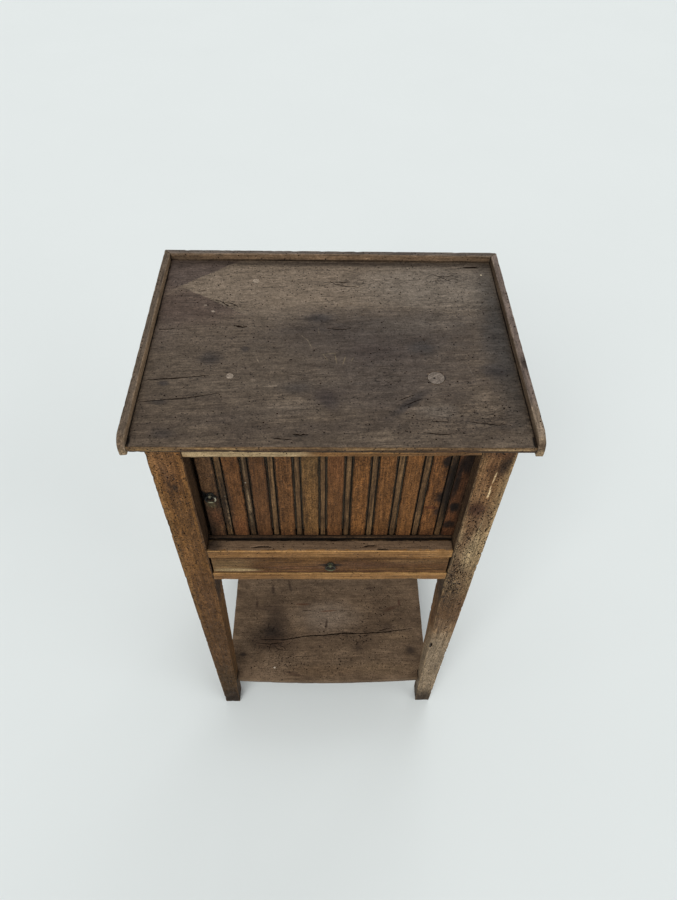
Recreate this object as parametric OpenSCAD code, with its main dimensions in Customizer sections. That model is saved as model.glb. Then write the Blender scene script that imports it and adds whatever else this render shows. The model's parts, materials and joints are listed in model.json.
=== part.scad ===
// Rustic bedside cabinet with a sliding slatted curtain, one drawer and a low shelf.
// Millimetres, +Z up, origin on the floor under the middle of the cabinet, front towards -Y.

/* [Overall] */
// Height from the floor to the top of the gallery
total_h = 765; // [700:1:830]
// Width over the gallery strips
top_w = 418; // [390:1:470]
// Depth over the top board and the rear gallery strip
top_d = 314; // [290:1:360]

/* [Top and gallery] */
// Thickness of the top board
top_t = 7; // [6:0.5:12]
// Height of the gallery above the top board
lip_h = 9.6; // [6:0.2:20]
// Thickness of the gallery strips
gallery_t = 8; // [6:0.5:12]
// Height of the gallery strips, which hide the board's edges
gallery_h = 22; // [19:1:32]
// Radius of the rounded front ends of the side strips
gallery_end_r = 14; // [6:1:16]
// Top board past the legs at each side
side_overhang = 12.5; // [6:0.5:25]
// Top board past the legs at the front and the back
front_overhang = 11; // [5:0.5:25]

/* [Legs] */
// Side of the square legs, down to where the taper starts
leg_w = 36.5; // [32:0.5:45]
// Side of the foot
foot_w = 25.5; // [20:0.5:32]
// Height at which the taper of the two inner faces starts
taper_z = 455; // [300:5:465]

/* [Case] */
// Height of the open bay under the drawer, from the floor
bay_top_z = 470; // [465:1:500]
// Height of the rail under the drawer
bottom_rail_h = 16; // [12:0.5:24]
// Depth of the rails, front to back
rail_d = 20; // [16:0.5:28]
// Height of the drawer's opening
drawer_open_h = 40.4; // [34:0.2:55]
// Height of the rail between the drawer and the curtain
divider_h = 15.8; // [12:0.2:22]
// Depth of that rail, front to back
divider_d = 17.3; // [12:0.1:18]
// Thickness of the compartment's floor board
floor_t = 15; // [12:0.5:18]
// Floor board above the rail in front of it
floor_step = 3.2; // [0:0.1:6]
// Shrinkage gap between that rail and the floor board
floor_gap = 0.9; // [0.1:0.1:1.4]
// Height of the front rail under the top, at its left end
top_rail_h = 22; // [20:0.5:30]
// Depth of the front rail under the top
top_rail_d = 14.6; // [10:0.2:16]
// How much the top rail's lower edge climbs from left to right
top_rail_climb = 4; // [0:0.5:4]
// Thickness of the grooved board over the compartment
head_t = 15; // [12:0.5:18]
// Thickness of the side panels
panel_t = 7; // [5:0.5:8]
// Side panels set in from the legs' outer faces
panel_inset = 1; // [0.5:0.5:3]
// Thickness of the back boards
back_t = 7; // [5:0.5:10]
// Back boards set in from the back legs' rear faces
back_inset = 2.5; // [1:0.5:6]
// Depth of the grooves in the legs that hold panels and boards
leg_groove_d = 5; // [3:0.5:6]
// Length of the rails' tenons
tenon_l = 14; // [8:1:18]
// Thickness of the rails' tenons
tenon_t = 7; // [5:0.5:9]
// Shoulders of the rails' tenons
tenon_shoulder = 2.5; // [1:0.5:3.5]
// Seam of the two back boards above their middle
back_seam_up = 12; // [0:1:40]

/* [Curtain] */
// Floor board in front of the curtain's face
floor_lip = 2.6; // [1.5:0.1:5]
// Gap between the left leg and the leading slat
lead_gap = 4.3; // [2:0.1:8]
// How far the last slat reaches behind the right leg
tail_reach = 4.5; // [2:0.5:8]
// Thickness of the wide slats
slat_t = 5.6; // [5:0.2:6.4]
// Width of the narrow strips
bead_w = 7.3; // [5:0.1:9]
// Thickness of the narrow strips at their crown
bead_t = 4.8; // [3:0.2:5.4]
// Radius of the narrow strips' rounded face
bead_crown_r = 6; // [5:0.5:12]
// Gap on each side of a narrow strip
slat_gap = 1.2; // [0.8:0.1:2]
// Bevel on the front edges of the wide slats
slat_bevel = 0.8; // [0.2:0.1:1.4]
// Thickness of the canvas behind the strips
canvas_t = 0.6; // [0.4:0.1:1]
// Canvas short of the strips' ends
canvas_margin = 6; // [4:0.5:12]
// Gap between the lengths of canvas at each bend
canvas_part = 0.3; // [0.2:0.1:0.6]
// Travel of the curtain
curtain_travel = 104; // [60:1:105]
// Depth of the curtain's grooves
groove_depth = 6; // [4:0.5:8]
// Thickness of the tongues that run in the grooves
tongue_t = 4; // [3:0.2:4.8]
// Clearance on each face of a tongue, and between the strips' ends and the boards
curtain_play = 0.3; // [0.2:0.1:0.7]
// Groove past the curtain's ends
groove_end = 3; // [1:0.5:4]
// Clearance between the curtain's face and the front of the right leg
pocket_gap = 1.5; // [0.8:0.1:3]

/* [Drawer] */
// Clearance between the drawer front and the legs, on each side
drawer_side_gap = 2; // [1:0.1:4]
// Clearance over and under the drawer front
drawer_gap = 1; // [0.5:0.1:2]
// Clearance between the drawer's sides and the runners
drawer_ride = 0.3; // [0.1:0.1:1]
// Drawer front set back from the rails' front faces
drawer_set_back = 1.4; // [0.5:0.1:3]
// Thickness of the drawer front
drawer_front_t = 15; // [12:0.5:20]
// Thickness of the drawer's sides and back
drawer_side_t = 8; // [6:0.5:10]
// Height of the drawer's sides
drawer_side_h = 32; // [26:0.5:33]
// Room between the drawer's rear end and the back boards
drawer_rear_gap = 19; // [10:1:60]
// Thickness of the drawer's bottom
drawer_bottom_t = 5; // [4:0.5:7]
// Drawer bottom above the lower edge of the sides
drawer_bottom_z = 4; // [3:0.5:6]
// Drawer's back in from the rear ends of the sides
drawer_back_inset = 4; // [1:0.5:10]
// Drawer's back lower than the sides
drawer_back_drop = 3; // [0:0.5:6]
// Depth of the grooves that hold the drawer's bottom
drawer_groove_d = 3; // [2:0.5:4]
// Length of the dovetails into the drawer front
dovetail_l = 9; // [6:0.5:11]
// Height of a dovetail at its root
dovetail_root_h = 12; // [8:0.5:14]
// How much a dovetail spreads on each edge
dovetail_flare = 3; // [1:0.5:4]
// Width of the runners' ledges under the drawer
runner_ledge_w = 12; // [8:0.5:20]
// Thickness of the runners
runner_t = 12; // [8:0.5:15]
// Height of the guides beside the drawer
guide_h = 14; // [8:0.5:24]
// Clearance between the drawer's sides and the guides
guide_gap = 1; // [0.5:0.1:2]
// Width of the guides
guide_w = 12; // [8:0.5:24]

/* [Shelf] */
// Height of the shelf's upper face
shelf_z = 86; // [60:1:160]
// Thickness of the shelf
shelf_t = 11; // [9:0.5:18]
// Shelf's long sides set in from the legs' outer faces
shelf_side_inset = 12.5; // [6:0.5:16]
// Gap between the shelf's front and back tongues and the legs
shelf_leg_gap = 3.5; // [1:0.5:6]
// Depth of the housings in the legs that carry the shelf
shelf_housing = 3; // [2:0.5:5]
// Shelf's front corners set back from the legs' front faces
shelf_set_back = 10; // [7:0.5:20]
// How far the shelf's front edge bows out in the middle
shelf_bow = 5; // [2:0.5:6]

/* [Ring pulls] */
// Radius of a ring, to the middle of its wire
ring_r = 5.8; // [5:0.1:8]
// Radius of a ring's wire
ring_wire_r = 0.9; // [0.7:0.1:1.2]
// Distance of the ring's wire from the wood
ring_stand = 3; // [2.8:0.1:4.5]
// Radius of the eye around the wire
eye_r = 2.2; // [1.9:0.1:3]
// Width of the eye
eye_w = 2.2; // [1.6:0.1:2.4]
// Clearance of the wire in the eye
eye_play = 0.2; // [0.15:0.05:0.4]
// Radius of the round plate behind the eye
rose_r = 4.2; // [3:0.1:6]
// Thickness of the round plate
rose_t = 0.8; // [0.5:0.1:1]
// Radius of the shank through the wood
shank_r = 1.2; // [0.8:0.1:1.5]
// Height of the drawer's eye above the bottom of its opening
drawer_eye_up = 23; // [20:0.5:27]
// Height of the curtain's eye above the compartment's floor
curtain_eye_up = 88; // [60:1:140]

/* [Nails, plugs and dowels] */
// Radius of a nail's shank
nail_r = 0.9; // [0.6:0.1:1.2]
// Radius of a nail's head
nail_head_r = 2; // [1.4:0.1:2.6]
// Thickness of a nail's head, let in flush
nail_head_t = 0.8; // [0.5:0.1:1.2]
// Length of the nails in the gallery and the back boards
nail_l = 20; // [16:1:30]
// Nails along each side strip of the gallery
side_nail_count = 4; // [3:1:6]
// Nails along the rear strip of the gallery
back_nail_count = 5; // [3:1:7]
// First nail of a side strip from its front end
nail_front_margin = 26; // [16:1:50]
// Last nail of each gallery strip from the corner
nail_corner_margin = 35; // [28:1:60]
// Nails of the back boards in from the boards' edges
back_nail_margin = 22; // [10:1:50]
// Radius of the small wooden plugs in the top
plug_r = 4; // [3:0.5:6]
// Radius of the large round plug in the top, at the right
large_plug_r = 9; // [6:0.5:12]
// Radius of the dowels between the shelf and the legs
dowel_r = 3; // [2:0.5:4]
// Length of the dowels
dowel_l = 24; // [16:1:30]
// Dowels in from the shelf's long edges
dowel_inset = 8; // [5:0.5:12]

/* [Hidden] */

$fn = 48;
eps = 0.01;
over = 1;

// Heights
board_top_z = total_h - lip_h;
case_top_z = board_top_z - top_t;
drawer_z = bay_top_z + bottom_rail_h;
floor_under_z = drawer_z + drawer_open_h;
divider_z = floor_under_z + divider_h;
floor_z = divider_z + floor_step;
head_z = case_top_z - head_t;

// Places across, from the middle
board_x = top_w / 2 - gallery_t;
leg_x = board_x - side_overhang;
leg_in_x = leg_x - leg_w;
panel_in_x = leg_x - panel_inset - panel_t;

// Places front to back, from the middle
front_y = top_d / 2;
leg_y = front_y - front_overhang;
leg_in_y = leg_y - leg_w;
back_in_y = leg_y - back_inset - back_t;
back_seam_z = (drawer_z + case_top_z) / 2 + back_seam_up;

// Curtain: places along its length at rest, and its planes
wide_count = 11;
tail_wide_count = 4;
lead_x = -leg_in_x + lead_gap;
end_x = leg_in_x + tail_reach;
bead_share = bead_w + 2 * slat_gap;
slat_w = (end_x - lead_x - (wide_count - 1) * bead_share) / wide_count;
pitch = slat_w + bead_share;
floor_front_y = -leg_y + divider_d + floor_gap;
face_y = floor_front_y + floor_lip;
slat_back_y = face_y + slat_t;
hinge_y = slat_back_y + canvas_t / 2;
strip_z = floor_z + curtain_play;
strip_h = head_z - floor_z - 2 * curtain_play;
bend_count = 4;
bend_angle = 90 / bend_count;
front_wide_count = wide_count - tail_wide_count - 1;
bend_1_x = slat_x(front_wide_count) - bead_share + slat_gap / 2;
bend_2_x = slat_x(front_wide_count) - slat_gap / 2;
bend_3_x = slat_x(front_wide_count) + slat_w + slat_gap / 2;
bend_4_x = slat_x(front_wide_count + 1) - slat_gap / 2;
corner_run = (bend_2_x - bend_1_x) * cos(bend_angle) + (bend_3_x - bend_2_x) * cos(2 * bend_angle)
    + (bend_4_x - bend_3_x) * cos(3 * bend_angle);
tail_l = end_x - bend_4_x;
corner_x = bend_1_x + curtain_travel;
groove_w = tongue_t + 2 * curtain_play;
groove_mid_y = slat_back_y - tongue_t / 2;
groove_mid_r = corner_run + hinge_y - groove_mid_y;

// Front of the pocket in the right front leg that lets the curtain pass
pocket_y = face_y - pocket_gap;

// Drawer
drawer_x = leg_in_x - drawer_side_gap;
drawer_face_y = -leg_y + drawer_set_back;
drawer_low_z = drawer_z + drawer_ride;
drawer_front_low_z = drawer_z + drawer_gap;
drawer_front_high_z = floor_under_z - drawer_gap;
drawer_back_y = back_in_y - drawer_rear_gap;
drawer_side_front_y = drawer_face_y + drawer_front_t;
drawer_inner_x = drawer_x - drawer_side_t;
bottom_z = drawer_low_z + drawer_bottom_z;
guide_in_x = drawer_x + guide_gap;

// Ring pulls
drawer_eye = [0, drawer_face_y - ring_stand, drawer_z + drawer_eye_up];
curtain_eye = [lead_x + slat_w / 2, face_y - ring_stand, floor_z + curtain_eye_up];

// Shelf
shelf_x = leg_x - shelf_side_inset;
shelf_leg_w = foot_w + (leg_w - foot_w) * (shelf_z - shelf_t) / taper_z;
shelf_tongue_x = leg_x - shelf_leg_w - shelf_leg_gap;
shelf_side_y = leg_y - shelf_leg_w + shelf_housing;
shelf_front_y = leg_y - shelf_set_back;

function slat_x(i) = lead_x + i * pitch;
function bead_x(i) = slat_x(i) + slat_w + slat_gap;

// A box from its low corner to its high corner
module span(low, high) {
    translate(low) cube(high - low);
}

// Mirror image across the middle plane for the left side, which is -1
module to_side(side) {
    if (side < 0) mirror([1, 0, 0]) children();
    else children();
}

module to_end(end) {
    if (end < 0) mirror([0, 1, 0]) children();
    else children();
}

// Top board and gallery
module top_board() {
    color("dimgray") difference() {
        span([-board_x, -front_y, case_top_z], [board_x, front_y - gallery_t, board_top_z]);
        plug_shapes(over);
        gallery_nail_shapes(over);
    }
}

// Side strip on the right, mitred at the back, with a round front end
module gallery_side_blank() {
    top_z = total_h - gallery_end_r;
    intersection() {
        translate([0, 0, total_h - gallery_h]) linear_extrude(gallery_h) polygon([
            [board_x, -front_y],
            [board_x + gallery_t, -front_y],
            [board_x + gallery_t, front_y],
            [board_x, front_y - gallery_t]
        ]);
        union() {
            span([board_x - over, -front_y, total_h - gallery_h - over],
                [board_x + gallery_t + over, front_y + over, top_z]);
            span([board_x - over, -front_y + gallery_end_r, total_h - gallery_h - over],
                [board_x + gallery_t + over, front_y + over, total_h + over]);
            translate([board_x - over, -front_y + gallery_end_r, top_z]) rotate([0, 90, 0])
                cylinder(r = gallery_end_r, h = gallery_t + 2 * over, $fn = 96);
        }
    }
}

module gallery_side(side) {
    color("dimgray") difference() {
        to_side(side) gallery_side_blank();
        gallery_nail_shapes(over);
    }
}

module gallery_back() {
    color("dimgray") difference() {
        translate([0, 0, total_h - gallery_h]) linear_extrude(gallery_h) polygon([
            [-board_x, front_y - gallery_t],
            [board_x, front_y - gallery_t],
            [board_x + gallery_t, front_y],
            [-board_x - gallery_t, front_y]
        ]);
        gallery_nail_shapes(over);
    }
}

// Legs: outer faces upright, inner faces tapered below taper_z
module leg_profile() {
    polygon([
        [0, 0],
        [foot_w, 0],
        [leg_w, taper_z],
        [leg_w, case_top_z],
        [0, case_top_z]
    ]);
}

// The back right leg; the others are its mirror images
module leg_blank() {
    intersection() {
        translate([leg_x, leg_y, 0]) rotate([90, 0, 0]) mirror([1, 0, 0])
            linear_extrude(leg_w) leg_profile();
        translate([leg_x, leg_y, 0]) rotate([90, 0, -90])
            linear_extrude(leg_w) leg_profile();
    }
}

module leg(side, end) {
    color("peru") difference() {
        to_side(side) to_end(end) leg_blank();
        shelf_blank();
        dowel_shapes();
        side_panel_blank(side);
        if (end > 0) {
            back_boards_blank();
            back_nail_shapes(over);
            rail_blank(back_rail_low, back_rail_high);
        } else {
            top_rail_blank();
            rail_blank(divider_low, divider_high);
            rail_blank(bottom_rail_low, bottom_rail_high);
            if (side > 0) curtain_pocket();
        }
    }
}

// Room behind the front of the right leg for the curtain
module curtain_pocket() {
    span([leg_in_x - over, pocket_y, floor_z], [panel_in_x, -leg_in_y + over, head_z]);
}

// Rails with a tenon at each end
bottom_rail_low = [-leg_in_x, -leg_y, bay_top_z];
bottom_rail_high = [leg_in_x, -leg_y + rail_d, drawer_z];
divider_low = [-leg_in_x, -leg_y, floor_under_z];
divider_high = [leg_in_x, -leg_y + divider_d, divider_z];
back_rail_low = [-leg_in_x, leg_y - rail_d, bay_top_z];
back_rail_high = [leg_in_x, leg_y, drawer_z];

module rail_blank(low, high) {
    mid_y = (low[1] + high[1]) / 2;
    span(low, high);
    span([low[0] - tenon_l, mid_y - tenon_t / 2, low[2] + tenon_shoulder],
        [high[0] + tenon_l, mid_y + tenon_t / 2, high[2] - tenon_shoulder]);
}

module bottom_rail() {
    color("chocolate") rail_blank(bottom_rail_low, bottom_rail_high);
}

module divider_rail() {
    color("goldenrod") rail_blank(divider_low, divider_high);
}

module back_rail() {
    color("saddlebrown") rail_blank(back_rail_low, back_rail_high);
}

// Front rail under the top, whose lower edge is out of level
module top_rail_blank() {
    low_z = case_top_z - top_rail_h;
    back_y = -leg_y + top_rail_d;
    translate([0, back_y, 0]) rotate([90, 0, 0]) linear_extrude(top_rail_d) polygon([
        [-leg_in_x, low_z],
        [leg_in_x, low_z + top_rail_climb],
        [leg_in_x, case_top_z],
        [-leg_in_x, case_top_z]
    ]);
    span([-leg_in_x - tenon_l, back_y - tenon_shoulder - tenon_t, low_z + top_rail_climb + tenon_shoulder],
        [leg_in_x + tenon_l, back_y - tenon_shoulder, case_top_z - tenon_shoulder]);
}

module front_top_rail() {
    color("tan") top_rail_blank();
}

// The curtain's groove seen from above: along the front, round the corner, along the side
module groove_path() {
    turn_y = groove_mid_y + groove_mid_r;
    side_mid_x = corner_x + groove_mid_r;
    tail_end_y = hinge_y + corner_run + tail_l + groove_end;
    translate([lead_x - groove_end, groove_mid_y - groove_w / 2])
        square([corner_x - lead_x + groove_end, groove_w]);
    intersection() {
        translate([corner_x, turn_y]) difference() {
            circle(r = groove_mid_r + groove_w / 2, $fn = 96);
            circle(r = groove_mid_r - groove_w / 2, $fn = 96);
        }
        translate([corner_x, groove_mid_y - groove_w]) square([groove_mid_r + groove_w, groove_mid_r + groove_w]);
    }
    translate([side_mid_x - groove_w / 2, turn_y]) square([groove_w, tail_end_y - turn_y]);
}

// Plan of the boards over and under the compartment, cut out round the legs
module case_plan(front) {
    difference() {
        translate([-panel_in_x, front]) square([2 * panel_in_x, back_in_y - front]);
        for (side = [-1, 1]) {
            for (end = [-1, 1]) {
                translate([side * (leg_in_x + leg_w), end * (leg_in_y + leg_w)])
                    square(2 * leg_w, center = true);
            }
        }
    }
}

module floor_board() {
    color("sienna") difference() {
        translate([0, 0, floor_z - floor_t]) linear_extrude(floor_t) case_plan(floor_front_y);
        translate([0, 0, floor_z - groove_depth]) linear_extrude(groove_depth + over) groove_path();
    }
}

module head_board() {
    color("rosybrown") difference() {
        translate([0, 0, head_z]) linear_extrude(head_t) case_plan(-leg_y + top_rail_d);
        translate([0, 0, head_z - over]) linear_extrude(groove_depth + over) groove_path();
        plug_shapes(over);
    }
}

// Side panels, let into grooves in the legs except beside the curtain's pocket
module side_panel_blank(side) {
    front = side > 0 ? -leg_in_y : -leg_in_y - leg_groove_d;
    to_side(side) span([panel_in_x, front, bay_top_z],
        [panel_in_x + panel_t, leg_in_y + leg_groove_d, case_top_z]);
}

module side_panel(side) {
    color("peru") side_panel_blank(side);
}

// Back boards, one over the other, in grooves in the back legs
module back_boards_blank() {
    span([-leg_in_x - leg_groove_d, back_in_y, drawer_z], [leg_in_x + leg_groove_d, back_in_y + back_t, case_top_z]);
}

module back_board(low, high) {
    color("saddlebrown") difference() {
        intersection() {
            back_boards_blank();
            span([-leg_x, back_in_y - over, low], [leg_x, leg_y, high]);
        }
        back_nail_shapes(over);
    }
}

// Runners carry the drawer, and guides beside it keep it straight
module drawer_runner(side) {
    color("burlywood") to_side(side) {
        span([drawer_x - runner_ledge_w, -leg_y + rail_d, drawer_z - runner_t],
            [leg_in_x, leg_y - rail_d, drawer_z]);
        span([leg_in_x - eps, -leg_in_y, drawer_z - runner_t], [panel_in_x, leg_in_y, drawer_z]);
    }
}

module drawer_guide(side) {
    color("burlywood") to_side(side) span([guide_in_x, -leg_in_y, drawer_z],
        [guide_in_x + guide_w, leg_in_y, drawer_z + guide_h]);
}

// Shelf: notched round the legs, housed in them at its sides, with a bowed front edge
module shelf_blank() {
    bow_r = (shelf_tongue_x * shelf_tongue_x + shelf_bow * shelf_bow) / (2 * shelf_bow);
    translate([0, 0, shelf_z - shelf_t]) linear_extrude(shelf_t) {
        translate([-shelf_x, -shelf_side_y]) square([2 * shelf_x, 2 * shelf_side_y]);
        intersection() {
            translate([-shelf_tongue_x, -shelf_front_y - shelf_bow])
                square([2 * shelf_tongue_x, 2 * shelf_front_y + shelf_bow]);
            translate([0, bow_r - shelf_front_y - shelf_bow]) circle(r = bow_r, $fn = 720);
        }
    }
}

module lower_shelf() {
    color("gray") difference() {
        shelf_blank();
        dowel_shapes();
    }
}

// A nail along +X with its head's outer face at the origin; its hole runs on past the face
module nail_shape(past) {
    rotate([0, 90, 0]) {
        translate([0, 0, -past]) cylinder(r = nail_head_r, h = nail_head_t + past);
        cylinder(r = nail_r, h = nail_l);
    }
}

module gallery_nail_shapes(past) {
    nail_z = case_top_z + top_t / 2;
    side_step = (top_d - nail_front_margin - nail_corner_margin) / (side_nail_count - 1);
    back_step = (top_w - 2 * nail_corner_margin) / (back_nail_count - 1);
    for (side = [-1, 1]) {
        for (i = [0:side_nail_count - 1]) {
            to_side(side) translate([top_w / 2, -front_y + nail_front_margin + i * side_step, nail_z])
                mirror([1, 0, 0]) nail_shape(past);
        }
    }
    for (i = [0:back_nail_count - 1]) {
        translate([-top_w / 2 + nail_corner_margin + i * back_step, front_y, nail_z])
            rotate([0, 0, -90]) nail_shape(past);
    }
}

module gallery_nails() {
    color("darkslategray") gallery_nail_shapes(0);
}

// Plugs that pin the top board to the board under it: place across, place front to back, radius
plugs = [[-109, -58, plug_r], [111, -59, large_plug_r], [-92, 107, plug_r]];

module plug_shapes(past) {
    plug_l = top_t + head_t / 2;
    for (plug = plugs) {
        translate([plug[0], plug[1], board_top_z - plug_l]) cylinder(r = plug[2], h = plug_l + past);
    }
}

module top_plugs() {
    color("burlywood") plug_shapes(0);
}

// Nails through the back legs' rear faces and the back boards
module back_nail_shapes(past) {
    low_edges = [drawer_z, back_seam_z];
    high_edges = [back_seam_z, case_top_z];
    for (side = [-1, 1]) {
        for (board = [0, 1]) {
            for (z = [low_edges[board] + back_nail_margin, high_edges[board] - back_nail_margin]) {
                translate([side * (leg_in_x + leg_groove_d / 2), leg_y, z]) rotate([0, 0, -90])
                    nail_shape(past);
            }
        }
    }
}

module back_nails() {
    color("darkslategray") back_nail_shapes(0);
}

// Hidden dowels across the joints between the shelf and the legs
module dowel_shapes() {
    for (side = [-1, 1]) {
        for (end = [-1, 1]) {
            translate([side * (shelf_x - dowel_inset), end * shelf_side_y - dowel_l / 2, shelf_z - shelf_t / 2])
                rotate([-90, 0, 0]) cylinder(r = dowel_r, h = dowel_l);
        }
    }
}

module shelf_dowels() {
    color("burlywood") dowel_shapes();
}

// Drawer
module dovetail_blank(side) {
    mid_z = drawer_low_z + drawer_side_h / 2;
    root = dovetail_root_h / 2;
    tip = root + dovetail_flare;
    to_side(side) translate([drawer_inner_x, drawer_side_front_y, mid_z]) rotate([90, 0, 90])
        linear_extrude(drawer_side_t) polygon([
            [over, -root],
            [0, -root],
            [-dovetail_l, -tip],
            [-dovetail_l, tip],
            [0, root],
            [over, root]
        ]);
}

module drawer_bottom_blank() {
    span([-drawer_inner_x - drawer_groove_d, drawer_side_front_y - drawer_groove_d, bottom_z],
        [drawer_inner_x + drawer_groove_d, drawer_back_y, bottom_z + drawer_bottom_t]);
}

module drawer_front() {
    color("sandybrown") difference() {
        span([-drawer_x, drawer_face_y, drawer_front_low_z],
            [drawer_x, drawer_side_front_y, drawer_front_high_z]);
        dovetail_blank(-1);
        dovetail_blank(1);
        drawer_bottom_blank();
        stud_shank(drawer_eye, drawer_front_t);
    }
}

module drawer_side(side) {
    color("burlywood") difference() {
        union() {
            to_side(side) span([drawer_inner_x, drawer_side_front_y, drawer_low_z],
                [drawer_x, drawer_back_y, drawer_low_z + drawer_side_h]);
            dovetail_blank(side);
        }
        drawer_bottom_blank();
    }
}

module drawer_back() {
    rear_y = drawer_back_y - drawer_back_inset;
    color("burlywood") span([-drawer_inner_x, rear_y - drawer_side_t, bottom_z + drawer_bottom_t],
        [drawer_inner_x, rear_y, drawer_low_z + drawer_side_h - drawer_back_drop]);
}

module drawer_bottom() {
    color("tan") drawer_bottom_blank();
}

// Ring pull: a shank through the wood, a round plate, and an eye that the ring hangs in
module stud_shank(eye, wood_t) {
    translate([eye[0], eye[1] + ring_stand, eye[2]]) rotate([-90, 0, 0])
        cylinder(r = shank_r, h = wood_t);
}

module stud(eye, wood_t) {
    color("darkolivegreen") difference() {
        union() {
            stud_shank(eye, wood_t);
            translate(eye) rotate([-90, 0, 0]) cylinder(r = shank_r, h = ring_stand);
            translate([eye[0], eye[1] + ring_stand - rose_t, eye[2]]) rotate([-90, 0, 0])
                cylinder(r = rose_r, h = rose_t);
            translate([eye[0] - eye_w / 2, eye[1], eye[2]]) rotate([0, 90, 0])
                cylinder(r = eye_r, h = eye_w);
        }
        translate([eye[0] - rose_r, eye[1], eye[2]]) rotate([0, 90, 0])
            cylinder(r = ring_wire_r + eye_play, h = 2 * rose_r);
    }
}

module ring(eye) {
    color("darkolivegreen") translate([eye[0], eye[1], eye[2] - ring_r]) rotate([90, 0, 0])
        rotate_extrude($fn = 64) translate([ring_r, 0]) circle(r = ring_wire_r, $fn = 24);
}

// Plan of a wide slat, with its back on the curtain's back plane
module slat_plan(width, thickness, bevel) {
    polygon([
        [0, 0],
        [0, bevel - thickness],
        [bevel, -thickness],
        [width - bevel, -thickness],
        [width, bevel - thickness],
        [width, 0]
    ]);
}

module bead_plan() {
    intersection() {
        translate([0, -bead_t]) square([bead_w, bead_t]);
        translate([bead_w / 2, bead_crown_r - bead_t]) circle(r = bead_crown_r, $fn = 96);
    }
}

// Tongues of a strip of the curtain's straight part, which run in both grooves
module tongues(width) {
    for (z = [strip_z - groove_depth, strip_z + strip_h - eps]) {
        translate([0, -tongue_t, z]) cube([width, tongue_t, groove_depth + eps]);
    }
}

module wide_slat(i, shade) {
    color(shade) translate([slat_x(i), slat_back_y, 0]) {
        translate([0, 0, strip_z]) linear_extrude(strip_h) slat_plan(slat_w, slat_t, slat_bevel);
        if (i < front_wide_count) tongues(slat_w);
    }
}

module lead_slat(shade) {
    difference() {
        wide_slat(0, shade);
        color(shade) stud_shank(curtain_eye, slat_t);
    }
}

module bead(i) {
    color("slategray") translate([bead_x(i), slat_back_y, 0]) {
        translate([0, 0, strip_z]) linear_extrude(strip_h) bead_plan();
        if (i < front_wide_count - 1) tongues(bead_w);
    }
}

module lead_beads() {
    for (i = [0:front_wide_count - 2]) bead(i);
}

module tail_beads() {
    for (i = [front_wide_count + 1:wide_count - 2]) bead(i);
}

// Canvas glued behind the strips, parted at each bend
module canvas(from_x, to_x) {
    color("linen") span([from_x + canvas_part / 2, slat_back_y, strip_z + canvas_margin],
        [to_x - canvas_part / 2, slat_back_y + canvas_t, strip_z + strip_h - canvas_margin]);
}

top_board();
gallery_side(-1);  // gallery_left
gallery_side(1);  // gallery_right
gallery_back();
leg(-1, -1);  // leg_front_left
leg(1, -1);  // leg_front_right
leg(-1, 1);  // leg_back_left
leg(1, 1);  // leg_back_right
front_top_rail();
divider_rail();
bottom_rail();
back_rail();
head_board();
floor_board();
side_panel(-1);  // side_panel_left
side_panel(1);  // side_panel_right
back_board(back_seam_z, case_top_z);  // back_board_upper
back_board(drawer_z, back_seam_z);  // back_board_lower
drawer_runner(-1);  // drawer_runner_left
drawer_runner(1);  // drawer_runner_right
drawer_guide(-1);  // drawer_guide_left
drawer_guide(1);  // drawer_guide_right
lower_shelf();
gallery_nails();
top_plugs();
back_nails();
shelf_dowels();
drawer_front();
drawer_side(-1);  // drawer_side_left
drawer_side(1);  // drawer_side_right
drawer_back();
drawer_bottom();
stud(drawer_eye, drawer_front_t);  // drawer_stud
ring(drawer_eye);  // drawer_ring
lead_slat("saddlebrown");  // slat_1
wide_slat(1, "sienna");  // slat_2
wide_slat(2, "saddlebrown");  // slat_3
wide_slat(3, "peru");  // slat_4
wide_slat(4, "sienna");  // slat_5
wide_slat(5, "peru");  // slat_6
wide_slat(6, "sienna");  // slat_7
wide_slat(7, "peru");  // slat_8
wide_slat(8, "sienna");  // slat_9
wide_slat(9, "peru");  // slat_10
wide_slat(10, "saddlebrown");  // slat_11
lead_beads();
bead(front_wide_count - 1);  // corner_bead_first
bead(front_wide_count);  // corner_bead_last
tail_beads();
canvas(lead_x, bend_1_x);  // canvas_lead
canvas(bend_1_x, bend_2_x);  // canvas_corner_first
canvas(bend_2_x, bend_3_x);  // canvas_corner_middle
canvas(bend_3_x, bend_4_x);  // canvas_corner_last
canvas(bend_4_x, end_x);  // canvas_tail
stud(curtain_eye, slat_t);  // curtain_stud
ring(curtain_eye);  // curtain_ring
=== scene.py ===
"""Looks of the old bedside cabinet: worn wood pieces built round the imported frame."""

import json
import math

import bmesh
import bpy
import numpy as np
from mathutils import Euler, Matrix, Vector

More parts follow.
